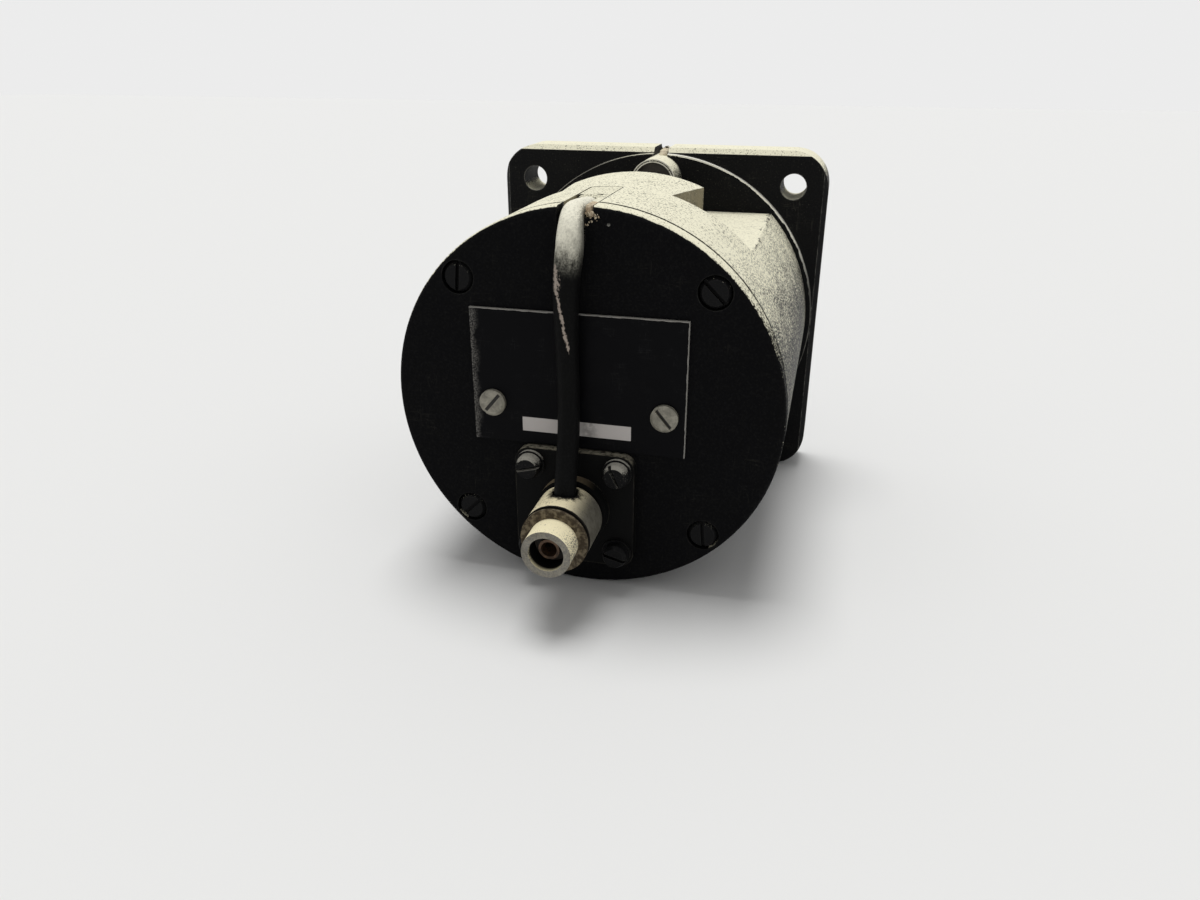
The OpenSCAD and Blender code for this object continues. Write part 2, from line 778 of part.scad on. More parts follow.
module bowl_space() {
    intersection() {
        y_cyl(bowl_r, front_wall_y1, bulkhead_y0);
        union() {
            translate([-bowl_r, front_wall_y1, bowl_floor_z])
                cube([2 * bowl_r, bulkhead_y0 - front_wall_y1, roof_z - bowl_floor_z]);
            translate([-bowl_r, rear_bay_y0, -bowl_r])
                cube([2 * bowl_r, bulkhead_y0 - rear_bay_y0, 2 * bowl_r]);
        }
    }
}

module compensator_bay() {
    intersection() {
        y_cyl(bowl_r, case_y0 - cut, comp_y1);
        translate([-bowl_r, case_y0 - cut, comp_roof_z - case_r])
            cube([2 * bowl_r, comp_y1 - case_y0 + cut, case_r]);
    }
}

// Slot, land and bores for the lead, and the stepped notch that carries the slot through the cover
module lead_slot(x0, y0, y1, floor_z) {
    translate([x0, y0, floor_z]) cube([groove_x1 - x0, y1 - y0, case_r - floor_z + cut]);
}

module lead_land() {
    translate([groove_x0 - groove_wall, rear_bay_y0 - cut, groove_floor - groove_under])
        cube([groove_w + 2 * groove_wall, case_y1 - rear_bay_y0 + cut, case_r]);
}

module lead_way() {
    rod(tunnel[0], tunnel[1] + [0, tunnel_run, 0], tunnel_r);
    rod(tunnel[1], tunnel[2], tunnel_r + tunnel_elbow);
    lead_slot(groove_x0, groove_y0, case_y1 + cut, groove_floor);
}

module lead_notch() {
    lead_slot(groove_x0, case_y1 - cut, cover_y1 + cut, groove_floor + notch_step);
    lead_slot(notch_x0, case_y1 - cut, cover_y1 + cut, groove_floor - notch_drop);
}

module case_body() {
    color(c_black) difference() {
        union() {
            difference() {
                y_cyl(case_r, case_y0, case_y1);
                shelf_cut();
                bowl_space();
                compensator_bay();
                y_cyl(bulkhead_hole_r, bulkhead_y0 - cut, bulkhead_y1 + cut);
                y_cyl(bowl_r, bulkhead_y1, case_y1 + cut);
            }
            intersection() {
                y_cyl(case_r - case_wall / 2, case_y0, case_y1);
                union() {
                    cover_rods(lug_r, case_y1 - lug_len, case_y1);
                    lead_land();
                    for (p = bezel_screw_at) translate([p[0], 0, p[1]])
                        y_cyl(bezel_boss_r, case_y0, case_y0 + bezel_boss_len);
                }
            }
        }
        translate([0, 0, window_z]) xz_plate(case_y0 - cut, front_wall_y1 + cut)
            round_rect(window_w, window_h, window_corner_r);
        translate([0, 0, lamp_z]) y_cyl(lamp_tube_r + loose, case_y0 - cut, lamp_tube_out + loose);
        cover_rods(cover_screw_r + seat, case_y1 - cover_screw_len, case_y1 + cut);
        for (p = bezel_screw_at) translate([p[0], 0, p[1]])
            y_cyl(bezel_screw_r + seat, case_y0 - cut, case_y0 + bezel_screw_depth + loose);
        translate([filler_x, filler_y, roof_z - cut])
            cylinder(r = filler_r + seat, h = bowl_wall + 2 * cut);
        lead_way();
    }
}

module filler_plug() {
    color(c_soft_black) translate([filler_x, filler_y, shelf_z + filler_washer_t]) rotate([90, 0, 0])
        slotted_screw(filler_head_r, filler_head_t, filler_r, bowl_wall + filler_washer_t);
}

module filler_washer() {
    color(c_rubber) translate([filler_x, filler_y, shelf_z]) difference() {
        cylinder(r = filler_head_r + filler_washer_rim, h = filler_washer_t);
        translate([0, 0, -cut]) cylinder(r = filler_r + seat, h = filler_washer_t + 2 * cut);
    }
}

// Corrugated diaphragm between the liquid and the air space
function diaphragm_at(r) = r > diaphragm_wave_r ? 0
    : diaphragm_wave * (1 - cos(360 * diaphragm_waves * r / diaphragm_wave_r)) / 2;

module expansion_diaphragm() {
    steps = [for (i = [0 : diaphragm_steps]) diaphragm_wave_r * i / diaphragm_steps];
    back = [for (i = [diaphragm_steps : -1 : 0]) steps[i]];
    color(c_brass) translate([0, bulkhead_y1, 0]) y_turn() polygon(concat(
        [for (r = steps) [r, diaphragm_at(r)]],
        [[diaphragm_r, 0], [diaphragm_r, diaphragm_t]],
        [for (r = back) [r, diaphragm_t + diaphragm_at(r)]]
    ));
}

// Rear cover, its gasket and screws
module cover_rods(r, y0, y1) {
    for (sx = [-1, 1], sz = [-1, 1]) translate([sx * cover_screw_at, 0, sz * cover_screw_at])
        y_cyl(r, y0, y1);
}

module rear_gasket() {
    color(c_rubber) difference() {
        y_cyl(case_r - cover_inset, case_y1, cover_y0);
        y_cyl(clamp_rim_r + loose, case_y1 - cut, cover_y0 + cut);
        cover_rods(cover_screw_r + loose, case_y1 - cut, cover_y0 + cut);
        lead_notch();
    }
}

module rear_cover() {
    color(c_black) difference() {
        union() {
            y_turn() polygon([
                [0, cover_y0], [case_r - cover_inset, cover_y0], [case_r, cover_y0 + cover_inset],
                for (i = [0 : edge_steps]) let (a = 90 * i / edge_steps)
                    [case_r - cover_edge * (1 - cos(a)), cover_y1 - cover_edge * (1 - sin(a))],
                [0, cover_y1]
            ]);
            difference() {
                y_cyl(clamp_rim_r, bulkhead_y1 + diaphragm_t, cover_y0 + cover_t / 2);
                y_cyl(clamp_rim_r - clamp_rim_w, bulkhead_y1, cover_y0);
            }
        }
        cover_rods(cover_screw_r + loose, cover_y0 - cut, cover_y1 + cut);
        cover_rods(cover_head_r + cover_bore_gap, cover_y1 - cover_sink, cover_y1 + cut);
        for (s = [-1, 1]) translate([plate_x + s * plate_screw_pitch / 2, 0, plate_screw_z])
            y_cyl(plate_screw_r + seat, cover_y1 - plate_screw_len + plate_t - loose, cover_y1 + cut);
        for (sx = [-1, 1], sz = [-1, 1])
            translate([conn_x + sx * conn_pitch / 2, 0, conn_z + sz * conn_pitch / 2])
                y_cyl(conn_screw_r + seat, cover_y0 - cut, cover_y1 + cut);
        lead_notch();
    }
}

module cover_screws() {
    color(c_soft_black) for (sx = [-1, 1], sz = [-1, 1])
        translate([sx * cover_screw_at, cover_y1 - cover_sink, sz * cover_screw_at])
            rotate([0, cover_slot_turn[0] * sx + cover_slot_turn[1] * sz, 0])
                slotted_screw(cover_head_r, cover_head_t, cover_screw_r, cover_shank);
}

// Blank nameplate and its screws
module nameplate() {
    color(c_black) translate([plate_x, 0, plate_z]) difference() {
        xz_plate(cover_y1, cover_y1 + plate_t) square([plate_w, plate_h], center = true);
        for (s = [-1, 1]) translate([s * plate_screw_pitch / 2, 0, plate_screw_z - plate_z])
            y_cyl(plate_screw_r + loose, cover_y1 - cut, cover_y1 + plate_t + cut);
    }
}

module nameplate_screws() {
    color(c_steel) for (s = [-1, 1])
        translate([plate_x + s * plate_screw_pitch / 2, cover_y1 + plate_t, plate_screw_z])
            rotate([0, plate_slot_turn * s, 0])
                slotted_screw(plate_head_r, plate_head_t, plate_screw_r, plate_screw_len);
}

// Lighting connector
module connector_shell() {
    color(c_nickel) translate([conn_x, 0, conn_z]) difference() {
        union() {
            xz_plate(cover_y1, conn_y1) round_rect(conn_w, conn_w, conn_corner_r);
            y_cyl(conn_collar_r, conn_y1 - cut, conn_y1 + conn_collar_len);
            y_cyl(conn_neck_r, conn_y1, conn_end_y - cut);
            y_cyl(conn_barrel_r, conn_sleeve_y1, conn_end_y);
        }
        y_cyl(conn_bore_r, conn_bore_y0, conn_end_y + cut);
        for (sx = [-1, 1], sz = [-1, 1]) translate([sx * conn_pitch / 2, 0, sz * conn_pitch / 2])
            y_cyl(conn_screw_r + loose, cover_y1 - cut, conn_y1 + cut);
    }
}

module connector_sleeve() {
    color(c_nickel) translate([conn_x, 0, conn_z]) difference() {
        union() {
            y_cyl(conn_sleeve_r, conn_sleeve_y0, conn_sleeve_y1 - 2 * conn_sleeve_lip);
            y_cyl(conn_sleeve_r - conn_sleeve_groove, conn_sleeve_y0 + cut,
                conn_sleeve_y1 - conn_sleeve_lip / 2);
            y_cyl(conn_sleeve_r - conn_sleeve_bead, conn_sleeve_y1 - conn_sleeve_lip, conn_sleeve_y1);
        }
        y_cyl(conn_neck_r + seat, conn_sleeve_y0 - cut, conn_sleeve_y1 + cut);
        translate([lead_end[0] - conn_x, lead_end[1], 0]) cylinder(r = lead_entry_r, h = conn_sleeve_r + cut);
    }
}

module connector_insulator() {
    color(c_soft_black) translate([conn_x, 0, conn_z]) difference() {
        y_cyl(conn_bore_r - seat, conn_bore_y0, conn_bore_y0 + insulator_t);
        y_cyl(contact_r + seat, conn_bore_y0 - cut, conn_bore_y0 + insulator_t + cut);
    }
}

module connector_contact() {
    color(c_brass) translate([conn_x, 0, conn_z]) difference() {
        y_cyl(contact_r, conn_bore_y0, conn_end_y - contact_back);
        y_cyl(contact_bore_r, conn_bore_y0 + insulator_t / 2, conn_end_y);
    }
}

module connector_screws() {
    color(c_steel) for (sx = [-1, 1], sz = [-1, 1])
        translate([conn_x + sx * conn_pitch / 2, conn_y1 + washer_t, conn_z + sz * conn_pitch / 2])
            rotate([0, conn_slot_turn[0] * sx + conn_slot_turn[1] * sz, 0])
                slotted_screw(conn_head_r, conn_head_t, conn_screw_r, conn_screw_len + washer_t);
}

module connector_washers() {
    color(c_steel) for (sx = [-1, 1], sz = [-1, 1])
        translate([conn_x + sx * conn_pitch / 2, 0, conn_z + sz * conn_pitch / 2]) difference() {
            y_cyl(washer_r, conn_y1, conn_y1 + washer_t);
            y_cyl(conn_screw_r + loose, conn_y1 - cut, conn_y1 + washer_t + cut);
        }
}

module lighting_lead() {
    color(c_soft_black) swept_tube(lead_route, lead_girth, lead_sides);
}

// Cement beside the lead, flush with the case, with a cap over the front end of the lead's slope
module cement_block(y0, y1, z0, w) {
    translate([cement_x0, y0, z0]) cube([w, y1 - y0, case_r]);
}

module lead_cement() {
    color(c_cement) intersection() {
        y_cyl(case_r - cement_sink, groove_y0 + seat, cover_y1 - cement_short, $fn = cement_facets);
        difference() {
            union() {
                cement_block(groove_y0, case_y1, groove_floor + seat, cement_w);
                cement_block(case_y1 - cut, cover_y1, groove_floor + notch_step + seat, cement_w);
                cement_block(groove_y0, groove_y0 + cement_cap_len, case_r - cement_cap_t, cement_cap_w);
            }
            rod(tunnel[1], tunnel[2], lead_r + lead_clear);
        }
    }
}

// Pivot: post, spring, jewel holder and jewel, all below the pivot point, then the tip and pin above it
module at_pivot() {
    translate([0, card_y, pivot_rise]) children();
}

module jewel_post() {
    floor_z = bowl_floor_z - pivot_rise;
    color(c_brass) at_pivot() difference() {
        union() {
            translate([0, 0, floor_z]) cylinder(r = post_foot_r, h = post_foot_t);
            translate([0, 0, floor_z]) cylinder(r = post_r, h = post_top - floor_z);
        }
        translate([0, 0, post_top - holder_h - spring_h]) cylinder(r = holder_r + running, h = bowl_r);
    }
}

function coil_point(i, n) = let (a = 360 * spring_turns * i / n)
    [spring_r * cos(a), spring_r * sin(a), spring_wire_r + (spring_h - 2 * spring_wire_r) * i / n];

function coil_ring(c, t) = let (a = unit(cross(t, [0, 0, 1])), b = cross(t, a))
    [for (k = [0 : 5]) c + spring_wire_r * (cos(60 * k) * a + sin(60 * k) * b)];

module jewel_spring() {
    n = 10 * spring_turns;
    p = [for (i = [0 : n]) coil_point(i, n)];
    rings = [for (i = [0 : n]) each coil_ring(p[i], heading(p, i))];
    color(c_steel) at_pivot() translate([0, 0, post_top - holder_h - spring_h + loose / 2])
        swept_rings(rings, n + 1, 6);
}

module jewel_holder() {
    z0 = post_top - holder_h + loose;
    color(c_brass) at_pivot() difference() {
        translate([0, 0, z0]) cylinder(r = holder_r, h = jewel_top - holder_below - z0);
        translate([0, 0, jewel_top - jewel_h]) cylinder(r = jewel_r + seat, h = jewel_h + cut);
    }
}

module jewel() {
    color(c_ruby) at_pivot() difference() {
        translate([0, 0, jewel_top - jewel_h]) cylinder(r = jewel_r, h = jewel_h);
        sphere(pivot_tip_r + running);
    }
}

module pivot_tip() {
    color(c_steel) at_pivot() sphere(pivot_tip_r);
}

module pivot_pin() {
    color(c_steel) at_pivot() difference() {
        rotate_extrude() polygon([
            [0, pin_start - pin_point], [pin_cone_r, pin_start], [pin_r, pin_cone_top],
            [pin_r, pin_top], [0, pin_top]
        ]);
        sphere(pivot_tip_r + running);
    }
}

// Card: drum on spokes, two float shells, magnet clip and two bar magnets
module compass_card() {
    ring_z = float_rim - spoke_t;
    spoke_r0 = float_r + card_ring_w / 2;
    color(c_soft_black) at_pivot() {
        difference() {
            translate([0, 0, -card_drop]) cylinder(r = card_r, h = card_h);
            translate([0, 0, -card_drop - cut]) cylinder(r = card_r - card_t, h = card_h + 2 * cut);
        }
        difference() {
            union() {
                translate([0, 0, ring_z]) cylinder(r = float_r + card_ring_w, h = spoke_t);
                for (k = [0 : spoke_count - 1]) rotate(360 * k / spoke_count)
                    translate([spoke_r0, -spoke_w / 2, ring_z])
                        cube([card_r - card_t / 2 - spoke_r0, spoke_w, spoke_t]);
            }
            translate([0, 0, ring_z - cut]) cylinder(r = float_r + seat, h = spoke_t + 2 * cut);
        }
    }
}

module float_upper() {
    color(c_alu) at_pivot() rotate_extrude() polygon([
        [pin_r + running, pin_cone_top], [float_boss_r, pin_cone_top], [float_boss_r, float_top - float_wall],
        [float_r + float_lip_w, float_rim], [float_r + float_lip_w, float_rim + float_wall],
        [float_boss_r + float_boss_flare, float_top], [float_boss_r, pin_top], [pin_r + running, pin_top]
    ]);
}

module float_lower() {
    color(c_alu) at_pivot() rotate_extrude() polygon([
        [float_r, float_rim], [float_r, float_floor], [float_hole_r, float_floor],
        [float_boss_r + seat, pin_cone_top - float_wall], [float_boss_r + seat, pin_cone_top + float_wall],
        [float_hole_r + float_wall, float_floor + float_wall],
        [float_r - float_wall, float_floor + float_wall], [float_r - float_wall, float_rim]
    ]);
}

module magnet_clip() {
    color(c_brass) at_pivot() difference() {
        union() {
            difference() {
                translate([0, 0, float_floor - clip_t]) cylinder(r = float_r - clip_inset, h = clip_t);
                translate([0, 0, float_floor - clip_t - cut])
                    cylinder(r = float_hole_r + clip_hole_rim, h = clip_t + 2 * cut);
            }
            for (s = [-1, 1]) translate([s * card_magnet_x - saddle_half, -saddle_len / 2, saddle_z0])
                cube([2 * saddle_half, saddle_len, float_floor - clip_t / 2 - saddle_z0]);
        }
        for (s = [-1, 1]) translate([s * card_magnet_x, 0, float_floor - clip_t - card_magnet_r])
            y_cyl(card_magnet_r + seat, -card_magnet_len, card_magnet_len);
    }
}

module card_magnets() {
    color(c_steel) at_pivot() for (s = [-1, 1])
        translate([s * card_magnet_x, 0, float_floor - clip_t - card_magnet_r])
            y_cyl(card_magnet_r, -card_magnet_len / 2, card_magnet_len / 2);
}

// Compensator: frame of three plates, two pillars and two cheeks
module comp_plate(y0) {
    intersection() {
        translate([-pillar_x - plate_ear, y0, comp_frame_z0])
            cube([2 * (pillar_x + plate_ear), comp_plate_t, comp_frame_z1 + plate_over - comp_frame_z0]);
        y_cyl(comp_frame_r, y0 - cut, y0 + comp_plate_t + cut);
    }
}

module comp_cheek(x0) {
    intersection() {
        translate([x0, comp_plate_y[1], comp_frame_z0])
            cube([cheek_t, comp_plate_y[2] - comp_plate_y[1] + cut / 2, comp_frame_z1 - comp_frame_z0]);
        y_cyl(comp_frame_r, 0, comp_y1);
    }
}

module compensator_frame() {
    color(c_brass) difference() {
        union() {
            for (y = comp_plate_y) comp_plate(y);
            comp_cheek(cheek_right_x);
            comp_cheek(cheek_left_x);
            for (s = [-1, 1]) translate([s * pillar_x, 0, pillar_z])
                y_cyl(pillar_r, comp_plate_y[0], comp_plate_y[2] + comp_plate_t);
        }
        for (x = [-comp_x, ew_follow_x, comp_x]) translate([x, 0, comp_z])
            y_cyl(comp_shaft_r + running, comp_plate_y[0] - cut, comp_plate_y[1] + comp_plate_t + cut);
        for (y = [bevel_apex_y, ns_follow_y]) translate([0, y, comp_z])
            x_cyl(comp_shaft_r + running, cheek_left_x - cut, cheek_right_x + cheek_t + cut);
        for (s = [-1, 1]) translate([s * pillar_x, 0, pillar_z])
            y_cyl(comp_screw_r + seat, comp_plate_y[0] - cut, comp_plate_y[0] + comp_screw_depth + loose);
    }
}

module compensator_screws() {
    color(c_soft_black) for (s = [-1, 1])
        translate([s * pillar_x, comp_screw_seat_y, pillar_z]) rotate([0, 0, 180])
            slotted_screw(comp_screw_head_r, comp_screw_head_t, comp_screw_r,
                comp_plate_y[0] + comp_screw_depth - comp_screw_seat_y);
}

// Compensator shafts, all made along +Z from z = 0 and then laid down
module collar_cut() {
    rotate([0, 90, 0]) cylinder(r = comp_magnet_r + seat, h = 2 * comp_collar_r + cut, center = true);
}

module comp_magnet_bar() {
    rotate([0, 90, 0]) cylinder(r = comp_magnet_r, h = 2 * comp_magnet_half, center = true);
}

module along_y(x, y) {
    translate([x, y, comp_z]) rotate([-90, 0, 0]) children();
}

module along_x(x, y) {
    translate([x, y, comp_z]) rotate([0, 90, 0]) children();
}

module adjuster_head() {
    difference() {
        cylinder(r = adjuster_r, h = adjuster_head_t);
        translate([-adjuster_r - cut, -adjuster_slot_w / 2, -cut])
            cube([2 * (adjuster_r + cut), adjuster_slot_w, cut + adjuster_slot_d]);
    }
}

module adjuster(x, rear_y, collar_y) {
    head_y = front_y + adjuster_recess;
    color(c_brass) along_y(x, head_y) difference() {
        union() {
            adjuster_head();
            translate([0, 0, adjuster_head_t / 2])
                cylinder(r = comp_shaft_r, h = rear_y - head_y - adjuster_head_t / 2);
            if (collar_y != undef) translate([0, 0, collar_y - head_y - comp_collar_half])
                cylinder(r = comp_collar_r, h = 2 * comp_collar_half);
        }
        if (collar_y != undef) translate([0, 0, collar_y - head_y]) collar_cut();
    }
}

module plain_shaft(length, collar) {
    difference() {
        union() {
            cylinder(r = comp_shaft_r, h = length);
            translate([0, 0, collar - comp_collar_half])
                cylinder(r = comp_collar_r, h = 2 * comp_collar_half);
        }
        translate([0, 0, collar]) collar_cut();
    }
}

module ew_adjuster() {
    adjuster(-comp_x, comp_plate_y[1] + comp_plate_t, ew_collar_y);
}

module ew_drive_gear() {
    color(c_brass) along_y(-comp_x, spur_y0) spur_gear(0);
}

module ew_adjuster_magnet() {
    color(c_steel) along_y(-comp_x, ew_collar_y) comp_magnet_bar();
}

module ew_follower() {
    y0 = comp_plate_y[0] + loose;
    color(c_brass) along_y(ew_follow_x, y0)
        plain_shaft(comp_plate_y[1] + comp_plate_t - y0, ew_follow_collar_y - y0);
}

module ew_driven_gear() {
    color(c_brass) along_y(ew_follow_x, spur_y0) spur_gear(half_pitch);
}

module ew_follower_magnet() {
    color(c_steel) along_y(ew_follow_x, ew_follow_collar_y) comp_magnet_bar();
}

module ns_adjuster() {
    adjuster(comp_x, bevel_back_y + bevel_face / 2, undef);
}

module ns_bevel_pinion() {
    color(c_brass) along_y(comp_x, bevel_back_y) bevel_gear(0, pinion_hub_len);
}

module ns_cross_shaft() {
    color(c_brass) along_x(cheek_left_x, bevel_apex_y)
        plain_shaft(bevel_back_x + bevel_face / 2 - cheek_left_x, ns_cross_collar_x - cheek_left_x);
}

module ns_bevel_wheel() {
    color(c_brass) along_x(bevel_back_x, bevel_apex_y) bevel_gear(half_pitch, wheel_hub_len);
}

module ns_drive_gear() {
    color(c_brass) along_x(ns_spur_x0, bevel_apex_y) spur_gear(0);
}

module ns_cross_magnet() {
    color(c_steel) along_x(ns_cross_collar_x, bevel_apex_y) comp_magnet_bar();
}

module ns_follower() {
    color(c_brass) along_x(cheek_left_x, ns_follow_y)
        plain_shaft(cheek_right_x + cheek_t - cheek_left_x, ns_follow_collar_x - cheek_left_x);
}

module ns_driven_gear() {
    color(c_brass) along_x(ns_spur_x0, ns_follow_y) spur_gear(half_pitch);
}

module ns_follower_magnet() {
    color(c_steel) along_x(ns_follow_collar_x, ns_follow_y) comp_magnet_bar();
}

front_bezel();
lens_gasket();
lens();
lens_seal();
lubber_line();
bezel_screws();
lamp_tube();
lamp_cap();
lamp_bulb();
lamp_base();
lamp_socket();
case_body();
filler_plug();
filler_washer();
expansion_diaphragm();
rear_gasket();
rear_cover();
cover_screws();
nameplate();
nameplate_screws();
connector_shell();
connector_sleeve();
connector_insulator();
connector_contact();
connector_screws();
connector_washers();
lighting_lead();
lead_cement();
jewel_post();
jewel_spring();
jewel_holder();
jewel();
pivot_tip();
pivot_pin();
compass_card();
float_upper();
float_lower();
magnet_clip();
card_magnets();
compensator_frame();
compensator_screws();
ew_adjuster();
ew_drive_gear();
ew_adjuster_magnet();
ew_follower();
ew_driven_gear();
ew_follower_magnet();
ns_adjuster();
ns_bevel_pinion();
ns_cross_shaft();
ns_bevel_wheel();
ns_drive_gear();
ns_cross_magnet();
ns_follower();
ns_driven_gear();
ns_follower_magnet();
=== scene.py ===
"""Looks of a panel-mounted aircraft standby compass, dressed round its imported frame."""
import logging
import math
from dataclasses import dataclass
from enum import Enum
from typing import ClassVar, Optional, Sequence, Union

import bmesh
import bpy
import numpy as np
from mathutils import Matrix, Vector


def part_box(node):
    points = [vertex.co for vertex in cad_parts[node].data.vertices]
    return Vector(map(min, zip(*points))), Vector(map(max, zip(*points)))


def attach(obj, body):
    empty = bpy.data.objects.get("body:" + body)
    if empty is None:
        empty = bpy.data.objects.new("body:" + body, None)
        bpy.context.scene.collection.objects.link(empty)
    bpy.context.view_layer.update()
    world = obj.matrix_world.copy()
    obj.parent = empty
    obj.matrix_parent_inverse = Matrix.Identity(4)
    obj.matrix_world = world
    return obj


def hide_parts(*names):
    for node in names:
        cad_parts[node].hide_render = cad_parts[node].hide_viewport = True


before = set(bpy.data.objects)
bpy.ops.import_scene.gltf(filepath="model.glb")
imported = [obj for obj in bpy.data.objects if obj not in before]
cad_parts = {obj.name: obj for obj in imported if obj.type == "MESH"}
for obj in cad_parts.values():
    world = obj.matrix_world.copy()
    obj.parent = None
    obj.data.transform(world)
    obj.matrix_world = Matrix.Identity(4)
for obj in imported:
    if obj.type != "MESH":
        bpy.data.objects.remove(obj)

log = logging.getLogger("compass")

MM = 0.001
TURN = 2 * math.pi
MERGE = 1e-7
HOUSING = "housing"
CARD = "card"

Color = tuple[float, float, float]
Point = tuple[float, float, float]
Pair = tuple[float, float]
Socket = bpy.types.NodeSocket
Value = Union["Term", float, Sequence[float]]


# Meshes from arrays

def grid_quads(rows: int, columns: int, wrap: bool) -> np.ndarray:
    """Quads that join a grid of points row by row.

    Args:
        rows: Number of rows of points.
        columns: Number of points in each row.
        wrap: True where the last point of a row joins the first.

    Returns:
        An array of four point numbers for each quad.
    """
    last = columns if wrap else columns - 1
    row, column = np.meshgrid(np.arange(rows - 1), np.arange(last), indexing="ij")
    beside = (column + 1) % columns
    quads = [row * columns + column, row * columns + beside,
             (row + 1) * columns + beside, (row + 1) * columns + column]
    return np.stack(quads, axis=-1).reshape(-1, 4)


def smooth_path(points: np.ndarray, steps: int) -> np.ndarray:
    """A Catmull-Rom curve through points: each span is a cubic set by its two neighbours.

    Args:
        points: The points that the curve runs through.
        steps: Number of points made in each span.

    Returns:
        The points of the curve, ends included.
    """
    padded = np.vstack([2 * points[0] - points[1], points, 2 * points[-1] - points[-2]])
    a, b, c, d = (padded[i:len(padded) - 3 + i, None, :] for i in range(4))
    t = (np.arange(steps) / steps)[None, :, None]
    curve = 0.5 * (2 * b + (c - a) * t + (2 * a - 5 * b + 4 * c - d) * t ** 2
                   + (3 * b - a - 3 * c + d) * t ** 3)
    return np.vstack([curve.reshape(-1, 3), points[-1:]])


def rings(path: np.ndarray, turn: np.ndarray) -> np.ndarray:
    """Unit circles square to a path: cosine along an axis near X plus sine along the axis square to both.

    Args:
        path: Points of the path.
        turn: Angles of the points of each circle.

    Returns:
        One row of directions for each point of the path.
    """
    sideways = np.array([1.0, 0.0, 0.0])
    along = np.gradient(path, axis=0)
    along /= np.linalg.norm(along, axis=1, keepdims=True)
    side = sideways - along * (along @ sideways)[:, None]
    side /= np.linalg.norm(side, axis=1, keepdims=True)
    other = np.cross(along, side)
    return np.cos(turn)[None, :, None] * side[:, None] + np.sin(turn)[None, :, None] * other[:, None]


def lumps(points: np.ndarray, size: float, seed: float) -> np.ndarray:
    """Smooth uneven values between -1 and 1: sums of sines along slanted directions.

    Args:
        points: Points in metres.
        size: Length of the largest lumps.
        seed: Number that shifts the pattern.

    Returns:
        One value for each point.
    """
    slants = np.array([[1.0, 0.7, -0.4], [-0.6, 1.2, 0.9], [0.8, -0.5, 1.4], [-1.7, -1.1, 0.6]])
    shares = np.array([0.4, 0.3, 0.2, 0.1])
    phase = points @ slants.T * (TURN / size) + seed * np.array([1.0, 2.3, 3.1, 4.7])
    return (np.sin(phase) * shares).sum(axis=-1)


def link(name: str, mesh: bpy.types.Mesh) -> bpy.types.Object:
    """A new object at the origin that shows a mesh.

    Args:
        name: Name of the piece.
        mesh: The mesh.

    Returns:
        The new object, linked to the scene.
    """
    piece = bpy.data.objects.new(name, mesh)
    bpy.context.scene.collection.objects.link(piece)
    return piece


def make_object(name: str, points: np.ndarray, faces: np.ndarray,
                uv: Optional[np.ndarray] = None) -> bpy.types.Object:
    """A smooth mesh object at the origin, with its place in its mesh.

    Args:
        name: Name of the piece.
        points: Points in metres, in rows of any shape.
        faces: Point numbers of each face.
        uv: One map coordinate for each point, or None.

    Returns:
        The new object, linked to the scene.
    """
    mesh = bpy.data.meshes.new(name)
    mesh.from_pydata(points.reshape(-1, 3).tolist(), [], faces.tolist())
    if uv is not None:
        layer = mesh.uv_layers.new(name="surface")
        corners = np.zeros(len(mesh.loops), np.int32)
        mesh.loops.foreach_get("vertex_index", corners)
        layer.data.foreach_set("uv", uv.reshape(-1, 2)[corners].astype(np.float32).ravel())
    mesh.polygons.foreach_set("use_smooth", np.ones(len(mesh.polygons), bool))
    mesh.validate()
    return link(name, mesh)


def close(piece: bpy.types.Object) -> None:
    """Merges doubled points of a piece, fills its open ends with flat faces and turns all faces outwards.

    Args:
        piece: The piece.
    """
    mesh = bmesh.new()
    mesh.from_mesh(piece.data)
    bmesh.ops.remove_doubles(mesh, verts=mesh.verts, dist=MERGE)
    bmesh.ops.holes_fill(mesh, edges=[edge for edge in mesh.edges if edge.is_boundary], sides=0)
    bmesh.ops.recalc_face_normals(mesh, faces=mesh.faces)
    mesh.to_mesh(piece.data)
    mesh.free()


def settle(piece: bpy.types.Object, body: str, material: bpy.types.Material) -> None:
    """Puts a new piece on its body with its finish.

    Args:
        piece: The piece.
        body: Body of the frame that carries it.
        material: Its finish.
    """
    piece.data.materials.clear()
    piece.data.materials.append(material)
    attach(piece, body)
    log.info("%s: %d faces, rides on %s", piece.name, len(piece.data.polygons), body)


def mesh_points(mesh: bpy.types.Mesh) -> np.ndarray:
    """The points of a mesh as an array.

    Args:
        mesh: The mesh.

    Returns:
        One row of x, y and z for each point.
    """
    points = np.zeros(3 * len(mesh.vertices), np.float32)
    mesh.vertices.foreach_get("co", points)
    return points.reshape(-1, 3)


def move_points(mesh: bpy.types.Mesh, points: np.ndarray) -> None:
    """Moves the points of a mesh to new places."""
    mesh.vertices.foreach_set("co", points.astype(np.float32).ravel())


